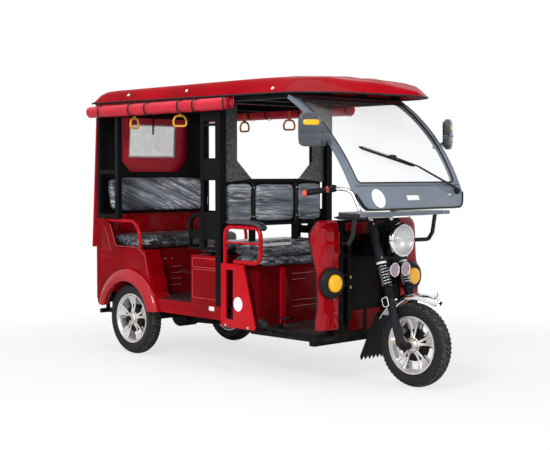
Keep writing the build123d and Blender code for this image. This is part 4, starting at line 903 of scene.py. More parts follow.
def addSpoke(rim, hub, side, angle):
    # Two arms that part towards the lip, and between them a thin dished plate
    out = np.array((math.cos(angle), 0, math.sin(angle)))
    aside = np.array((-math.sin(angle), 0, math.cos(angle)))
    outwards = np.array((0, side, 0))
    start = rimShape["spokeFrom"]
    u = np.linspace(0, 1, 12)[:, None]
    for arm in (-1, 1):
        path = hub + out * (start + 0.107 * u) + aside * arm * (0.006 + 0.026 * u ** 1.3)
        path = path + outwards * (0.026 - 0.012 * np.sin(u * np.pi) + 0.006 * u)
        width = 0.9 + 0.55 * (u[:, 0] - 0.45) ** 2 * 4
        rim.rod(path, roundedBar(0.0155, 0.010, 3.2, 12), (0, 1, 0), width)
    v = np.linspace(-1, 1, 9)[None, :, None]
    run = np.linspace(0, 1, 10)[:, None, None]
    plate = hub + out * (start + 0.105 * run) + aside * v * (0.007 + 0.026 * run ** 1.3)
    rim.add(plate + outwards * (0.0255 - 0.012 * np.sin(run * np.pi) + 0.004 * run - 0.003 * (1 - v ** 2)))
    nut = hub + rimShape["nutCircle"] * np.array((math.cos(angle + 0.63), 0, math.sin(angle + 0.63)))
    rim.head(hexHead(nut + (0, side * 0.034, 0), outwards, 0.006, 0.005), 1)


for name, x, y in wheels:
    body = name + "_wheel"
    grid = tyreGrid(x, y)
    rows, columns = grid.shape[0], grid.shape[1] - 1
    onCrown = np.broadcast_to((np.abs(np.arange(columns) - 21.5) < 16)[None, :], (rows, columns))
    tyre = Piece(name + "Tyre").add(grid, 0, ringU=True, keep=~onCrown).add(grid, 1, ringU=True, keep=onCrown)
    tyre.make([rubber, treadRubber], body, [name + "_tyre"], "tyre_rubber", 30)

    rim = Piece(name + "Rim")
    hub = np.array((x, y, axleZ))
    every = np.arange(60)[:, None] % 12
    for side in (-1, 1):
        for part, count, mark in (("lip", 90, 0), ("hub", 48, 0), ("disc", 48, 3), ("drum", 60, 4)):
            rim.spin(rimShape[part], hub, (0, side, 0), count, mark)
        for n in range(rimShape["spokes"]):
            addSpoke(rim, hub, side, 2 * np.pi * n / rimShape["spokes"] + math.pi / 10)
        cap = "frontCap" if name == "front" else "innerCap" if side * y < 0 else "cap"
        rim.spin(rimShape[cap], hub, (0, side, 0), 28, 1)
        rim.add(turned(rimShape["valve"], hub, (0, side, 0), 60), 2, ringU=True, keep=every == 6)
    rim.make([wheelMetal, brass, steel, hubRust, frameBlack], body, [name + "_rim"], "alloy", 34)
print("wheels made")


# Body panels: the CAD sheets with their edges rounded over
# Sheets with a second finish, and the rule on a face's middle p and normal n that picks it
second = {
    # On the mid seat box the faces turned to the rear take the darker red of painted shade
    "mid_seat_box": (deepShadeRed, lambda p, n: n.x < -0.5),
    "driver_seat_box": (brightRed, lambda p, n: p.x > 0.281 and abs(p.y) > 0.2),
    "partition_frame": (carved, lambda p, n: p.z > 1.18 and abs(n.x) > 0.9),
    "dash_tray": (slateGrey, lambda p, n: p.x > 1.06 and p.z > 0.95),
    "brake_pedal": (chrome, lambda p, n: p.z > 0.370),
}


def dressAll(*rows):
    # node, finish, slot, width of the rounded edge
    for node, finish, slot, edge in rows:
        other, rule = second.get(node, (None, None))
        dressed(node, [finish, other] if other else [finish], "body", edge, rule)


dressAll(
    ("rear_side_panels", bodyRed, "red_paint", 0.0016), ("wheel_housings", bodyRed, "red_paint", 0.0012),
    ("tail_panel", bodyRed, "red_paint", 0.0016), ("side_sills", bodyRed, "red_paint", 0.0012),
    # The rear and driver's seat boxes are in the darker red of painted shade, but for the driver's box's outer
    # front corners
    ("mid_seat_box", bodyRed, "red_paint", 0), ("rear_seat_box", deepShadeRed, "red_paint", 0.0008),
    ("rear_back_panel", bodyRed, "red_paint", 0.0012), ("driver_seat_box", deepShadeRed, "red_paint", 0.0010),
    ("step_plates", brightRed, "red_paint", 0.0014), ("floor_pan", matBlack, "black_paint", 0.0012),
    ("chassis_frame", chassisBlack, "black_paint", 0.0012), ("front_frame", frameBlack, "black_paint", 0.0014),
    ("pillar_ladders", frameBlack, "black_paint", 0.0014), ("partition_frame", frameBlack, "black_paint", 0.0010),
    ("rear_frame", frameBlack, "black_paint", 0.0012), ("roof_frame", frameBlack, "black_paint", 0.0010),
    ("front_fascia", fasciaMaroon, "black_plastic", 0.0010))

# y from and to, z from and to of the red fields
fascia = {"x": 0.7412, "bulge": 0.0025, "wall": 0.0012, "fields": (
    (-0.136, -0.014, 0.284, 0.410), (0.018, 0.140, 0.284, 0.410), (-0.165, 0.165, 0.826, 0.925))}
panels = Piece("fasciaPanels")
for y0, y1, z0, z1 in fascia["fields"]:
    yy, zz = crossed(y0, y1, 24, z0, z1, 12)
    pillow = np.sin(np.pi * (yy - y0) / (y1 - y0)) * np.sin(np.pi * (zz - z0) / (z1 - z0))
    panels.add(np.stack([fascia["x"] + fascia["bulge"] * np.abs(pillow) ** 0.5, yy, zz], -1))
# The fields are in the darker red of painted shade
thicken(panels.make([deepShadeRed], "body", slot="red_plastic", sharp=60), fascia["wall"])

dressAll(
    ("dash_tray", darkGrey, "grey_plastic", 0.0030), ("rear_bumper", chassisBlack, "black_paint", 0.0008),
    ("rear_axle", chassisBlack, "black_paint", 0.0012), ("leaf_springs", chassisBlack, "black_paint", 0.0006),
    ("brake_pedal", frameBlack, "black_paint", 0.0010))
paintNode("battery_pack", chassisBlack)
print("panels dressed")


# Arch flares
flare = {
    "x": -0.938, "z": axleZ, "outer": 0.335, "foot": 0.312, "panel": 0.4903, "wall": 0.004,
    # radius about the axle, distance out from the panel
    "section": ((0.335, 0.0005), (0.334, 0.010), (0.328, 0.020), (0.316, 0.029), (0.298, 0.0345),
                (0.276, 0.0372), (0.260, 0.038), (0.2535, 0.0355), (0.252, 0.030), (0.252, 0.0005)),
}
reach = math.asin((flare["foot"] - flare["z"]) / flare["outer"])
a = np.linspace(reach, math.pi - reach, 72)[:, None]
section = np.array(flare["section"])
radius = section[None, :, 0]
grid = np.stack([flare["x"] + radius * np.cos(a), -flare["panel"] - section[None, :, 1] + 0 * a,
                 flare["z"] + radius * np.sin(a)], -1)
grid[..., 2] = np.maximum(grid[..., 2], flare["foot"])
# The flares take the brighter red of painted highlight
flares = Piece("archFlares").both(grid).make([archHighlightRed], "body", ["arch_flares"], "red_plastic", 60)
thicken(flares, flare["wall"])


# Armrests
arm = {
    "rear": ((-1.230, -0.4697, 0.892), (-0.890, -0.4697, 0.892), (-0.832, -0.4697, 0.800),
             (-0.832, -0.4697, 0.7023)),
    "driver": ((0.036, -0.477, 0.667), (0.036, -0.477, 0.890), (0.352, -0.477, 0.890), (0.352, -0.477, 0.680),
               (0.120, -0.477, 0.680)),
    "bar": ((0.040, -0.477, 0.796), (0.348, -0.477, 0.796)),
    "padX": (0.044, 0.10, 0.20, 0.29, 0.335, 0.360, 0.372, 0.3785),
    "padZ": (0.9175, 0.919, 0.9205, 0.9195, 0.9130, 0.9030, 0.8915, 0.876),
}
arms = Piece("armrestTubes")
arms.rod(softCorners(arm["rear"], 0.060, 12), circle(0.012, 18), (0, 1, 0), pair=True)
arms.rod(softCorners(arm["driver"], 0.062, 12), circle(0.013, 18), (0, 1, 0), pair=True)
arms.rod(np.linspace(*arm["bar"], 4), roundedBar(0.012, 0.033, 5, 16), (0, 1, 0), pair=True)
arms.make([brightRed], "body", ["armrest_frames"], "red_paint", 50)

padPath = softCorners(np.column_stack([arm["padX"], np.full(8, -0.477), arm["padZ"]]), 0.02, 5)
along = np.linspace(0, 1, len(padPath))
grow = np.sin(np.clip(along * 14, 0, 1) * np.pi / 2) * np.sin(np.clip((1 - along) * 9 + 0.15, 0, 1) * np.pi / 2)
pads = Piece("armrestPads").rod(padPath, roundedBar(0.062, 0.026, 3.2, 28), size=0.35 + 0.65 * grow, pair=True)
pads.make([padGrey], "body", ["armrest_pads"], "black_plastic", 60)
print("armrests made")


# Leg shields
shield = {
    # height, rear edge x, outer y, bulge of the front
    "rows": ((0.322, 0.760, 0.440, 0.006), (0.386, 0.761, 0.440, 0.008), (0.415, 0.772, 0.440, 0.003),
             (0.473, 0.777, 0.440, 0), (0.557, 0.776, 0.440, 0), (0.658, 0.770, 0.440, 0),
             (0.692, 0.760, 0.440, 0), (0.746, 0.739, 0.440, 0.010), (0.807, 0.721, 0.440, 0.014),
             (0.869, 0.717, 0.440, 0.012), (0.904, 0.735, 0.434, 0.004), (0.930, 0.742, 0.418, -0.008),
             (0.945, 0.746, 0.398, -0.020)),
    "front": 0.790, "inner": 0.273, "wall": 0.0045, "bead": 0.004,
}


def makeShields():
    # Each row is a cubic Bezier from the rear edge round to the front, then straight in to the inner edge
    rows = np.array(shield["rows"])
    v = np.linspace(0, len(rows) - 1, 73)
    table = np.column_stack([np.interp(v, np.arange(len(rows)), rows[:, k]) for k in range(4)])
    kernel = np.array((1, 2, 3, 2, 1)) / 9
    for k in range(1, 4):
        table[2:-2, k] = np.convolve(table[:, k], kernel, "valid")
    z, rear, outer, bulge = (table[:, k, None] for k in range(4))
    front, inner = shield["front"] + bulge, shield["inner"]
    flatY = inner + 0.30 * (outer - inner)
    u = np.linspace(0, 1, 34)[None, :]
    near, far = 3 * (1 - u) ** 2 * u, 3 * (1 - u) * u ** 2
    x = (1 - u) ** 3 * rear + near * (rear + 0.72 * (front - rear)) + (far + u ** 3) * front
    y = ((1 - u) ** 3 + near) * outer + far * (outer + 0.34 * (flatY - outer)) + u ** 3 * flatY
    w = np.linspace(0.1, 1, 8)[None, :]
    x = np.hstack([x, front + w * (shield["front"] - 0.004 + np.minimum(bulge, 0) - front), front - 0.012])
    y = np.hstack([y, flatY + w * (inner - flatY), inner + 0 * bulge])
    grid = np.stack([x, -y, z + 0 * x], -1)
    thing = Piece("legShields").both(grid).make([shieldRed], "body", ["leg_shields"], "red_plastic", 70)
    thicken(thing, shield["wall"])
    line = Piece("shieldEdges").rod(grid[:, 0] + (0.001, 0, 0), circle(shield["bead"], 8), (0, 1, 0), pair=True)
    line.make([trimRubber], "body", slot="rubber")


makeShields()
print("shields moulded")


# Turn signals
signal = {
    "place": (0.7903, -0.344, 0.590),
    # radius, distance ahead
    "housing": ((0.0, 0.0), (0.083, 0.0), (0.0885, 0.003), (0.0900, 0.010), (0.0890, 0.020), (0.0835, 0.030),
                (0.0720, 0.0365), (0.0580, 0.0380), (0.0530, 0.0360), (0.0520, 0.031)),
    "lens": ((0.0500, 0.030), (0.0500, 0.042), (0.0475, 0.0495), (0.040, 0.0545), (0.026, 0.0570), (0.0, 0.0580)),
}
signals = Piece("turnSignals").spin(signal["housing"], signal["place"], (1, 0, 0), 64, pair=True)
signals.spin(signal["lens"], signal["place"], (1, 0, 0), 56, 1, pair=True)
signals.make([trimRubber, amber], "body", ["turn_signals"], "lamp", 45)


# Windscreen
screen = {
    # x and z of three points of its arc
    "top": (0.600, 1.662), "mid": (0.920, 1.390), "foot": (1.129, 1.020),
    "seal": ((0, -0.447, 1.636), (0, -0.436, 1.40), (0, -0.421, 1.160), (0, 0.421, 1.160), (0, 0.436, 1.40),
             (0, 0.447, 1.636)),
    "sill": ((0, -0.4655, 1.105), (0, -0.416, 1.0120), (0, 0.416, 1.0120), (0, 0.4655, 1.105)),
    "sillLow": 1.0205, "ledgeHalf": 0.455, "ledgeZ": 1.147,
}
# Centre and radius of the circle through the three points
(ax, az), (bx, bz), (cx, cz) = screen["top"], screen["mid"], screen["foot"]
det = 2 * (ax * (bz - cz) + bx * (cz - az) + cx * (az - bz))
topSquare, midSquare, footSquare = ax * ax + az * az, bx * bx + bz * bz, cx * cx + cz * cz
screenX = (topSquare * (bz - cz) + midSquare * (cz - az) + footSquare * (az - bz)) / det
screenZ = (topSquare * (cx - bx) + midSquare * (ax - cx) + footSquare * (bx - ax)) / det
screenR = math.hypot(ax - screenX, az - screenZ)


def onScreen(y, z, out=0.0):
    # The point of the screen's cylinder at height z, moved outwards by out
    y, z = np.asarray(y, float), np.asarray(z, float)
    angle = np.arcsin((z - screenZ) / screenR)
    radius = screenR + out
    return np.stack([screenX + radius * np.cos(angle), y + 0 * z, screenZ + radius * np.sin(angle)], -1)


dressed("windscreen_frame", [slateGrey], edge=0.0045)
paintNode("windscreen_glass", glass)
trims = Piece("screenTrims")
flat = closedLoop(screen["seal"], 0.032, 9)
dense = np.vstack([np.linspace(here, there, 5)[:-1] for here, there in zip(flat, np.roll(flat, -1, 0))])
seal = onScreen(dense[:, 1], dense[:, 2], -0.0015)
trims.hoop(seal, roundedBar(0.009, 0.009, 3, 10), (1, 0, 0.4))
sill = softCorners(screen["sill"], 0.062, 10)
dense = np.vstack([np.linspace(here, there, 5)[:-1] for here, there in zip(sill, sill[1:])] + [sill[-1:]])
sillRun = onScreen(dense[:, 1], np.maximum(dense[:, 2], screen["sillLow"]), -0.004)
sillRun[:, 2] = np.minimum(sillRun[:, 2], dense[:, 2] + 0.006)
trims.rod(sillRun - (0, 0, 0.005), roundedBar(0.010, 0.024, 3, 12), (1, 0, 0.3))
ledgeY = np.linspace(-screen["ledgeHalf"], screen["ledgeHalf"], 40)
ledge = onScreen(ledgeY, np.full(40, screen["ledgeZ"]), 0.001)
trims.rod(ledge, roundedBar(0.007, 0.014, 2.5, 10), (1, 0, 0), mark=1)
for side in (-1, 1):
    zz = np.linspace(1.16, 1.63, 40)
    yy = side * np.interp(zz, (1.105, 1.40, 1.69), (0.454, 0.467, 0.480))
    trims.rod(onScreen(yy, zz, 0.0012), roundedBar(0.006, 0.007, 2.5, 8), (0, 1, 0), mark=1)
trims.make([trimRubber, slateGrey], "body", slot="grey_plastic")

blank = {
    # On the screen's moulding y and z, on the driver's seat box x and z; then radii or stretch
    "screenDisc": (-0.296, 1.0735, 0.052, 0.051), "screenStrip": (-0.002, 1.0735, 1.15),
    "stepDisc": (0.166, 0.428, 0.040, 0.043), "stepTag": (-0.104, -0.054, 0.3665, 0.393),
    "discY": -0.4912, "tagY": -0.4911, "thick": 0.0006,
}
labels = Piece("blankLabels")
a = roundTurn(40)[None, :]
r = np.array([0.0, 0.5, 0.97, 1.0])[:, None]
y, z, wide, high = blank["screenDisc"]
labels.lump(onScreen(y + wide * r * np.cos(a), z + high * r * np.sin(a), 0.0012))
uu, vv = crossed(-0.046, 0.046, 12, -0.014, 0.014, 6)
y, z, stretch = blank["screenStrip"]
labels.add(onScreen(y + stretch * uu, z + vv, 0.0012))
x, z, wide, high = blank["stepDisc"]
labels.lump(np.stack([x + wide * r * np.cos(a), np.full((4, 40), blank["discY"]), z + high * r * np.sin(a)], -1))
x0, x1, z0, z1 = blank["stepTag"]
uu, vv = crossed(x0, x1, 6, z0, z1, 5)
labels.add(np.stack([uu, np.full(uu.shape, blank["tagY"]), vv], -1))
thicken(labels.make([blankWhite], "body", slot="grey_plastic"), blank["thick"], 0.0)
print("windscreen made")


# Wiper
wiper = {
    "pivot": (0.405, 1.104, 0.014), "axis": (0.93, 0, 0.35), "bladeY": (-0.288, 0.108), "bladeZ": (1.3534, 1.2502),
    "post": ((0, 0.014), (0.012, 0.013), (0.017, 0.006), (0.018, -0.013)), "nozzleAt": (0.324, 1.083, 0.004),
    "nozzle": ((0, 0.010), (0.006, 0.009), (0.009, 0.004), (0.010, -0.006)),
    # y, z and distance off the glass along the arm
    "arm": ((0.405, 1.104, 0.026), (0.330, 1.136, 0.028), (0.108, 1.243, 0.024), (-0.058, 1.297, 0.018)),
}
wiperArm = Piece("wiper").spin(wiper["post"], onScreen(*wiper["pivot"]), wiper["axis"], 24)
armRun = softCorners(np.vstack([onScreen(*place) for place in wiper["arm"]]), 0.03)
wiperArm.rod(armRun, roundedBar(0.015, 0.008, 3, 10), (1, 0, 0.5), np.linspace(1.3, 0.5, len(armRun)))
wiperArm.make([trimRubber, steel], "body", ["wiper"], "black_paint")
bladeRun = onScreen(np.linspace(*wiper["bladeY"], 24), np.linspace(*wiper["bladeZ"], 24), 0.0085)
slim = np.interp(np.linspace(0, 1, 24), (0, 0.06, 0.94, 1), (0.5, 1, 1, 0.5))
blade = Piece("wiperBlade").rod(bladeRun, roundedBar(0.020, 0.013, 3, 10), (1, 0, 0.5), slim)
blade.rod(bladeRun[1:-1] + (0.007, 0, 0.0035), roundedBar(0.005, 0.004, 3, 8), (1, 0, 0.5), mark=1)
blade.lump(rounded(bladeRun[13] + (0.008, 0, 0.004), (0.022, 0.066, 0.026), 3, 12, 20))
blade.spin(wiper["nozzle"], onScreen(*wiper["nozzleAt"]), wiper["axis"], 16, 1)
blade.make([trimRubber, steel], "body", slot="rubber")


# Mirrors
mirror = {
    "centre": (0.882, -0.600, 1.450), "size": (0.050, 0.130, 0.186), "turn": -30,
    "bar": ((0.0225, -0.060, -0.008), (0.0225, 0.094, -0.008)), "glass": (0.056, 0.080), "glassX": -0.0252,
    "stalk": ((0.902, -0.536, 1.400), (0.892, -0.515, 1.384), (0.874, -0.500, 1.372), (0.862, -0.481, 1.368)),
    # Heights of the moulded grooves and their pitch
    "grooveTop": -0.012, "grooveLow": -0.068, "pitch": 0.017,
}
mirrors = Piece("mirrors")
cosM, sinM = math.cos(math.radians(mirror["turn"])), math.sin(math.radians(mirror["turn"]))


def onMirror(points):
    # Own frame, x out of the housing's back, turned about Z and moved to the mirror's place
    x, y, z = np.moveaxis(np.asarray(points, float), -1, 0)
    return np.stack([cosM * x - sinM * y, sinM * x + cosM * y, z], -1) + mirror["centre"]


shell = rounded((0, 0, 0), mirror["size"], 4.5, 40, 64)
shell[..., 0] *= 1 - 0.18 * np.clip(shell[..., 2] / 0.095, -1, 1) ** 2
height = shell[..., 2]
grooves = np.sin((height + 0.05) * 2 * np.pi / mirror["pitch"]) > 0.1
grooves = grooves & (height < mirror["grooveTop"]) & (height > mirror["grooveLow"])
shell[..., 0] += 0.0022 * grooves * np.clip((shell[..., 0] - 0.016) / 0.004, 0, 1)
mirrors.lump(onMirror(shell), 0, True)
mirrors.lump(onMirror(rounded((0.0200, 0.000, 0.038), (0.014, 0.090, 0.030), 5, 14, 32)), 1, True)
bar = carry(np.linspace(*mirror["bar"], 6), roundedBar(0.010, 0.012, 3, 8), (0, 0, 1))
mirrors.both(onMirror(bar), ringV=True, caps=True)
mirrors.lump(onMirror(rounded((0.000, 0.062, -0.036), (0.044, 0.074, 0.062), 4, 18, 32)), 0, True)
wide, high = mirror["glass"]
uu, vv = crossed(-wide, wide, 10, -high, high, 10)
mirrors.both(onMirror(np.stack([mirror["glassX"] + 0 * uu, uu, vv], -1)), 2)
mirrors.rod(softCorners(mirror["stalk"], 0.012, 6), roundedBar(0.020, 0.017, 3, 12), pair=True)
mirrors.lump(rounded((0.878, -0.504, 1.376), (0.044, 0.032, 0.032), 4, 12, 20), 0, True)
mirrors.make([mirrorGrey, amber, chrome], "body", ["mirrors"], "grey_plastic", 45)
print("mirrors made")


# Steering: fork, springs, bars and lamps
frontX = wheels[0][1]
rake = math.radians(18)
axisUp = np.array((-math.sin(rake), 0, math.cos(rake)))
axisAhead = np.array((math.cos(rake), 0, math.sin(rake)))
forkFoot = np.array((1.100 - 0.040 / math.cos(rake), 0, axleZ))


def raked(along, across=0.0, forward=0.040):
    return forkFoot + axisUp * along + axisAhead * forward + np.array((0, across, 0))


dressed("fork", [forkSatin], "steering", edge=0.0012)
paintNode("front_spindle", chrome)
dressed("mud_flap", [flapRubber], "steering", edge=0.0006)
leg = {
    # Turned parts: height up the leg, finish, then radius and height of each point
    "turned": (
        (0.466, 0, ((0.0275, -0.004), (0.0300, 0.0), (0.0300, 0.007), (0.0275, 0.010))),
        (0.322, 1, ((0.016, -0.004), (0.034, -0.004), (0.035, 0.0), (0.035, 0.008), (0.030, 0.012),
                    (0.016, 0.012))),
        (0.452, 1, ((0.016, 0.0), (0.033, 0.0), (0.034, 0.004), (0.034, 0.010), (0.016, 0.010)))),
    "y": 0.090, "rib": ((0.0262, 0.0), (0.0275, 0.004), (0.0262, 0.008)), "ribFrom": 0.262, "ribPitch": 0.010,
    "coilTurns": 7.0, "coilFrom": 0.334, "coilRise": 0.116, "coilRadius": 0.0282, "wire": 0.0044,
    "plate": (0.048, 0.012, 0.060), "axleCap": ((0, 0.018), (0.010, 0.017), (0.013, 0.012), (0.013, 0.0)),
    "outline": ((-0.021, 0, -0.018), (-0.010, 0, -0.027), (0.021, 0, -0.027), (0.021, 0, 0.027),
                (-0.021, 0, 0.024)),
}
legs = Piece("forkDetails")
coils = Piece("forkSprings")
plateFrame = np.stack([axisAhead, (0, 1, 0), axisUp])
for side in (-1, 1):
    y, outwards = side * leg["y"], (0, side, 0)
    for along, mark, profile in leg["turned"]:
        legs.spin(profile, raked(along, y), axisUp, 40, mark)
    a = np.linspace(0, 2 * np.pi * leg["coilTurns"], 190)[:, None]
    climb = leg["coilFrom"] + leg["coilRise"] * a / a[-1]
    radius = leg["coilRadius"]
    helix = forkFoot + np.array((0, y, 0)) + axisUp * climb + axisAhead * (0.040 + radius * np.cos(a))
    coils.rod(helix + np.array((0, radius, 0)) * np.sin(a), circle(leg["wire"], 8), tuple(axisUp))
    for n in range(5):
        legs.spin(leg["rib"], raked(leg["ribFrom"] + leg["ribPitch"] * n, y), axisUp, 32, 1)
    plate = raked(0.245, y + side * 0.031, 0.032)
    legs.lump(plate + rounded((0, 0, 0), leg["plate"], 5, 16, 32) @ plateFrame, 1)
    outline = carry(closedLoop(leg["outline"], 0.009), circle(0.0022, 8), (0, 1, 0), ring=True)
    legs.add(plate + (0, side * 0.0062, 0) + outline @ plateFrame, 0, ringU=True, ringV=True)
    axleEnd = np.array((frontX, y + side * 0.026, axleZ))
    legs.head(hexHead(axleEnd, outwards, 0.019, 0.012), 1)
    legs.spin(leg["axleCap"], axleEnd, outwards, 20, 1)
    legs.head(hexHead(raked(0.010, y, 0.024) + (0, side * 0.024, 0), outwards, 0.009, 0.008), 2)
    for along in (0.486, 0.686):
        legs.head(hexHead(raked(along + 0.010, side * 0.110, 0.066), (1, 0, 0.32), 0.008, 0.007), 3)
legs.make([blankWhite, frameBlack, brass, steel], "steering", slot="black_paint")
coils.make([springSteel], "steering", ["fork_springs"], "chrome", 60)

barShape = {
    # The left half from its knee to the tip of the grip
    "bend": ((0.850, 0.150, 0.975), (0.776, 0.155, 1.118), (0.690, 0.215, 1.124), (0.577, 0.331, 1.097)),
    "tube": 0.0108, "crossTube": 0.0075,
    # Finish, then radius and distance along the grip from its tip
    "turned": (
        (1, ((0.0110, -0.120), (0.0160, -0.1195), (0.0168, -0.110), (0.0160, -0.090), (0.0168, -0.070),
             (0.0160, -0.050), (0.0168, -0.030), (0.0162, -0.006))),
        (2, ((0.0165, -0.006), (0.0195, -0.004), (0.0200, 0.004), (0.0165, 0.014), (0.009, 0.018), (0.0, 0.019))),
        (2, ((0.0115, -0.136), (0.0190, -0.134), (0.0190, -0.122), (0.0115, -0.120)))),
    # The lever's points ahead of the switch box and out along the grip
    "lever": ((0.012, 0), (0.040, 0.010), (0.046, 0.080), (0.034, 0.150)),
}
bars = Piece("handlebar")
for side in (-1, 1):
    bend = np.array(barShape["bend"]) * (1, side, 1)
    run = softCorners([raked(0.716, side * 0.090), raked(0.745, side * 0.092, 0.030), *bend], 0.060, 10)
    bars.rod(run, circle(barShape["tube"], 18), (1, 0, 0.2))
    tip, way = bend[3], unit(bend[3] - bend[2])
    for mark, profile in barShape["turned"]:
        bars.spin(profile, tip, way, 28, mark)
    box = tip - way * 0.160
    boxRun = np.linspace(box - way * 0.024, box + way * 0.022, 5)
    bars.rod(boxRun, roundedBar(0.034, 0.042, 4, 20), size=(0.7, 1, 1.05, 1, 0.8), mark=1)
    ahead = unit(np.cross((0, 0, 1), way))
    ahead = ahead * math.copysign(1, ahead[0])
    lever = softCorners([box + ahead * before + way * out for before, out in barShape["lever"]], 0.02, 6)
    bars.rod(lever, roundedBar(0.010, 0.006, 3, 10), mark=1)
cross = np.linspace(raked(0.740, -0.090), raked(0.740, 0.090), 5)
bars.rod(cross, circle(barShape["crossTube"], 14))
bars.make([chrome, trimRubber, gripRed], "steering", ["handlebar"], "chrome", 50)

lampShape = {
    "place": (1.043, 0, 0.831), "grow": 1.033, "bracketY": 0.0595,
    "bowl": ((0.0, -0.112), (0.036, -0.110), (0.060, -0.090), (0.080, -0.060), (0.0885, -0.034), (0.0900, -0.030)),
    "rim": ((0.0900, -0.034), (0.0945, -0.030), (0.0948, -0.012), (0.0920, -0.004), (0.0870, -0.0005),
            (0.0835, -0.002), (0.0825, -0.006)),
    "mirror": ((0.0835, -0.008), (0.074, -0.028), (0.055, -0.046), (0.030, -0.056), (0.012, -0.058), (0.0, -0.058)),
    "bulb": ((0.0, -0.026), (0.014, -0.028), (0.018, -0.036), (0.016, -0.056)),
    "lens": 0.0850, "dome": 0.014, "ringPitch": 0.0145, "ringRise": 0.0010, "fluteRise": 0.0007, "flutes": 24,
}
lamp = Piece("headlight")
place = lampShape["place"]
lampX, lampZ = place[0], place[2]
for part, mark in (("bowl", 1), ("rim", 0), ("mirror", 2)):
    lamp.spin(np.array(lampShape[part]) * (lampShape["grow"], 1), place, (1, 0, 0), 64, mark)
lamp.spin(lampShape["bulb"], place, (1, 0, 0), 32)
for side in (-1, 1):
    y = side * lampShape["bracketY"]
    bracket = np.linspace((lampX - 0.150, y, lampZ), (lampX - 0.055, y, lampZ), 4)
    lamp.rod(bracket, roundedBar(0.007, 0.024, 5, 12), mark=1)
    lamp.head(hexHead(np.array((lampX - 0.070, side * 0.056, lampZ)), (0, -side, 0), 0.007, 0.004))
lamp.make([chrome, frameBlack, steel], "steering", ["headlight"], "chrome", 45)
# The lens bulges as a parabola, with rings of ripples and, past 30 mm, flutes
b = np.linspace(0, 1, 16)
lensProfile = np.stack([lampShape["lens"] * (1 - b), -0.003 + lampShape["dome"] * (1 - (1 - b) ** 2) - 0.003], 1)
lensGrid = turned(lensProfile, place, (1, 0, 0), 96)
out = lensProfile[:, 0]
rings = lampShape["ringRise"] * np.sin(out * 2 * np.pi / lampShape["ringPitch"])
flutes = lampShape["fluteRise"] * np.sin(roundTurn(96) * lampShape["flutes"])[:, None]
lensGrid[..., 0] += rings + flutes * (out > 0.03)
Piece("headlightLens").head(lensGrid).make([whiteLens], "steering", slot="clear", sharp=60)

twinShape = {
    "place": (1.0165, 0.048, 0.662),
    "shell": ((0.0, -0.036), (0.024, -0.035), (0.033, -0.026), (0.0385, -0.010), (0.0408, -0.003), (0.0400, 0.001),
              (0.0370, 0.002), (0.0345, -0.001)),
    "lens": ((0.0345, -0.001), (0.023, 0.0015), (0.0, 0.0025)),
}
twin = Piece("twinLamps")
for side in (-1, 1):
    place = np.array(twinShape["place"]) * (1, side, 1)
    twin.spin(twinShape["shell"], place, (1, 0, 0)).spin(twinShape["lens"], place, (1, 0, 0), mark=1)
barFoot = raked(0.481, 0, 0.068)
stem = [barFoot + (0.005, 0, 0.002), (barFoot[0] + 0.006, 0, 0.690), (barFoot[0] + 0.006, 0, 0.650)]
twin.rod(np.array(stem), roundedBar(0.046, 0.008, 5, 14), (1, 0, 0), mark=2)
twin.make([chrome, smallLens, frameBlack], "steering", ["twin_lights"], "chrome", 50)
print("lamps made")


# Front mudguard and its ornament
guard = {"from": 150, "to": 55, "half": 0.054, "radius": 0.2915, "wall": 0.0022, "tip": (60, 0.3145),
         "stayFoot": (115, 0.289)}


def guardPoint(angle, radius):
    return frontX + radius * np.cos(angle), axleZ + radius * np.sin(angle)


def makeGuard():
    # An arc from the flap forward, its radius easing out at the tip, crowned across with turned-down lips
    a = np.radians(np.linspace(guard["from"], guard["to"], 60))[:, None]
    ease = np.clip((np.radians(105) - a) / np.radians(50), 0, 1)
    across = np.linspace(-1, 1, 27)[None, :]
    off = np.abs(across)
    taper = 1 - 0.55 * np.clip((np.radians(78) - a) / np.radians(23), 0, 1) ** 2
    radius = guard["radius"] + 0.026 * ease ** 1.4 - 0.012 * off ** 2.2
    radius = radius - 0.022 * np.clip(off - 0.84, 0, 1) / 0.16
    x, z = guardPoint(a + 0 * across, radius)
    shell = Piece("frontMudguard").add(np.stack([x, guard["half"] * across * taper, z], -1))
    thicken(shell.make([chrome], "steering", ["front_mudguard"], "chrome", 60), guard["wall"])
    tipX, tipZ = guardPoint(math.radians(guard["tip"][0]), guard["tip"][1])
    fins = Piece("guardFins").lump(rounded((tipX, 0, tipZ + 0.010), (0.042, 0.016, 0.016), 2.4, 14, 20))
    footX, footZ = guardPoint(math.radians(guard["stayFoot"][0]), guard["stayFoot"][1])
    stays = Piece("guardStays")
    for side in (-1, 1):
        wing = softCorners([(tipX - 0.006, side * 0.006, tipZ + 0.012), (tipX - 0.012, side * 0.018, tipZ + 0.024),
                            (tipX - 0.030, side * 0.030, tipZ + 0.036)], 0.01, 6)
        fins.rod(wing, roundedBar(0.014, 0.004, 2.5, 12), size=np.linspace(1.1, 0.3, len(wing)))
        start = np.array((footX, side * 0.050, footZ - 0.004))
        end = raked(0.262, side * 0.070)
        stay = softCorners([start, (start + end) / 2 + (0, side * 0.008, 0.0), end], 0.01, 5)
        stays.rod(stay, roundedBar(0.018, 0.005, 4, 10), (1, 0, 0))
    fins.make([chrome], "steering", slot="chrome")
    stays.make([steel], "steering", slot="chrome")


makeGuard()


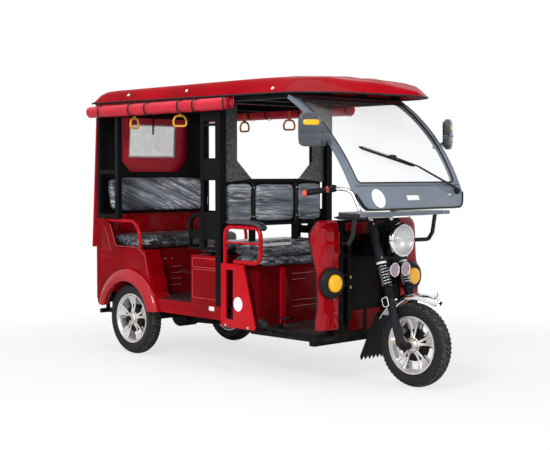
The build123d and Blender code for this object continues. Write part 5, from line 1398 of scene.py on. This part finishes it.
# Small parts: screws, bolts, lamps at the rear
screw = {
    "partitionX": -0.0235, "partition": (
        (-0.400, 1.135), (-0.212, 1.120), (-0.212, 0.940), (0.212, 1.120), (0.212, 0.940),
        (-0.186, 1.120), (-0.186, 0.940), (0.186, 1.120), (0.186, 0.940)),
    "screenY": (-0.130, 0.089, 0.309), "screenAt": (1.0785, 0.9905), "stepX": (0.047, 0.251),
    "stepAt": (-0.4895, 0.292), "bolts": (0.554, 0.612), "rearBox": (-0.30, -0.24),
}
screws = Piece("screws")
for y, z in screw["partition"]:
    screws.head(domeHead((screw["partitionX"], y, z), (1, 0, 0), 0.0055))
for y in screw["screenY"]:
    screws.head(domeHead((screw["screenAt"][0], y, screw["screenAt"][1]), (0.55, 0, 0.83), 0.010))
for x in screw["stepX"]:
    screws.head(domeHead((x, *screw["stepAt"]), (0, -1, 0), 0.009), 0, True)
for z in screw["bolts"]:
    screws.head(hexHead(np.array((0.7767, -0.163, z)), (1, 0, 0), 0.010, 0.007), 1, True)
for y in screw["rearBox"]:
    screws.head(domeHead((-0.786, y, 0.640), (1, 0, 0), 0.0045))
screws.make([steel, brass], "body", slot="chrome")

pressed = {
    # x, height and both ends across of each painted highlight line along a rib; how far out the raised lines lie,
    # and their runs in x and z
    "ribs": ((0.2845, 0.564, -0.150, -0.040), (0.2845, 0.600, -0.150, 0.060), (0.2845, 0.436, -0.148, 0.061),
             (0.2845, 0.399, -0.148, 0.061), (-0.7842, 0.584, -0.246, -0.164),
             (-0.7842, 0.542, -0.246, -0.164), (-0.7842, 0.501, -0.246, -0.164),
             (-0.7842, 0.461, -0.246, -0.164)),
    "fieldY": 0.4845, "fieldX": (-0.268, -0.020), "fieldZ": ((0.628, 0.684), (0.436, 0.614)), "stepY": 0.4895,
    "steps": (((-1.149, 0.865), (-1.083, 0.7205), (-0.837, 0.7205), (-0.755, 0.670), (-0.729, 0.550)),
              ((-1.208, 0.846), (-1.141, 0.6945))),
}
# Thin pale pink rods along the rib edges: painted highlights standing in for the light the ribs catch
paintedHighlightRods = Piece("ribHighlightLines")
for x, z, y0, y1 in pressed["ribs"]:
    paintedHighlightRods.rod(np.linspace((x, y0, z), (x, y1, z), 3), circle(0.0016, 8), (1, 0, 0))
paintedHighlightRods.make([paintedHighlightPink], "body", slot="red_paint")

# Raised lines round the pressed fields and along the side panel's lower step, in a lighter red that is a painted
# highlight on them
beads = Piece("pressedLines")
x0, x1 = pressed["fieldX"]
for side in (-1, 1):
    y = side * pressed["fieldY"]
    for z0, z1 in pressed["fieldZ"]:
        field = closedLoop([(x0, y, z0), (x1, y, z0), (x1, y, z1), (x0, y, z1)], 0.012)
        beads.hoop(field, circle(0.0022, 8), (0, 1, 0))
    for run in pressed["steps"]:
        step = softCorners([(x, side * pressed["stepY"], z) for x, z in run], 0.02, 5)
        beads.rod(step, circle(0.0028, 8), (0, 1, 0))
beads.make([lineHighlightRed], "body", slot="red_paint")

lever = {
    "run": ((0.318, -0.446, 0.336), (0.385, -0.449, 0.306), (0.560, -0.452, 0.296), (0.735, -0.440, 0.290)),
    "boot": ((0.0150, -0.040), (0.0215, -0.034), (0.0180, -0.026), (0.0225, -0.018), (0.0185, -0.010),
             (0.0220, 0.000), (0.0180, 0.012), (0.0140, 0.030)),
    "bootAt": (0.350, -0.4475, 0.3215), "bootWay": (0.87, 0, -0.39), "tube": 0.0125,
}
floorLever = Piece("floorLever").rod(softCorners(lever["run"], 0.05, 8), circle(lever["tube"], 16), (0, 1, 0))
floorLever.spin(lever["boot"], lever["bootAt"], lever["bootWay"], 28, 1)
floorLever.make([frameBlack, trimRubber], "body", slot="black_paint")

straps = Piece("backStraps")
for y in (-0.187, 0.187):
    straps.rod([(-0.0305, y, z) for z in (0.900, 1.02, 1.150)], roundedBar(0.024, 0.004, 4, 10), (1, 0, 0))
straps.make([webbing], "body", slot="rubber")

tails = Piece("tailLamps")
for mark, x, z, size, power in ((0, -1.3245, 0.624, (0.033, 0.066, 0.064), 6),
                                (1, -1.3245, 0.672, (0.033, 0.066, 0.030), 6),
                                (2, -1.3150, 0.640, (0.014, 0.070, 0.100), 8)):
    tails.lump(rounded((x, -0.407, z), size, power, 20, 36), mark, True)
tails.make([tailRed, amber, trimRubber], "body", ["tail_lamps"], "lamp")
print("small parts made")


# Floor and backdrop
floorMesh = bpy.data.meshes.new("floor")
floorMesh.from_pydata([(-40, -40, 0), (40, -40, 0), (40, 40, 0), (-40, 40, 0)], [], [(0, 1, 2, 3)])
floor = bpy.data.objects.new("floor", floorMesh)
scene.collection.objects.link(floor)
paper = Shader("paleFloor", (0.86, 0.86, 0.86), 0.9)
rays = paper.node("ShaderNodeLightPath", out="Is Camera Ray")
glow = paper.node("ShaderNodeEmission", {}, {"Color": (1.0, 1.0, 1.0), "Strength": 1.0})
across, along = paper.axis("X"), paper.axis("Y")
edgeFade = paper.fade((across * across + along * along) ** 0.5, 1.7, 3.2)
mixed = paper.node("ShaderNodeMixShader", {}, {0: rays * (0.72 + 0.28 * edgeFade)})
paper.tree.links.new(paper.surface.outputs[0], mixed.out.node.inputs[1])
paper.tree.links.new(glow.out, mixed.out.node.inputs[2])
paper.tree.links.new(mixed.out, paper.end.inputs[0])
floorMesh.materials.append(paper.material)

world = bpy.data.worlds.new("studio")
scene.world = world
world.use_nodes = True
sky = world.node_tree
sky.nodes.clear()
kinds = ("OutputWorld", "Background", "LightPath", "Math", "Math", "MapRange")
skyEnd, skyGlow, path, seen, seenAll, level = (sky.nodes.new("ShaderNode" + kind) for kind in kinds)
skyGlow.inputs[0].default_value = (1.0, 1.0, 1.0, 1.0)
seen.operation = seenAll.operation = "MAXIMUM"
level.inputs["To Min"].default_value, level.inputs["To Max"].default_value = 0.42, 1.0
# White to the camera, in mirrors and through glass; dimmer as light on the object
for start, end in ((path.outputs["Is Camera Ray"], seen.inputs[0]), (path.outputs["Is Glossy Ray"], seen.inputs[1]),
                   (seen.outputs[0], seenAll.inputs[0]), (path.outputs["Is Transmission Ray"], seenAll.inputs[1]),
                   (seenAll.outputs[0], level.inputs["Value"]), (level.outputs[0], skyGlow.inputs[1]),
                   (skyGlow.outputs[0], skyEnd.inputs[0])):
    sky.links.new(start, end)
print("floor laid")
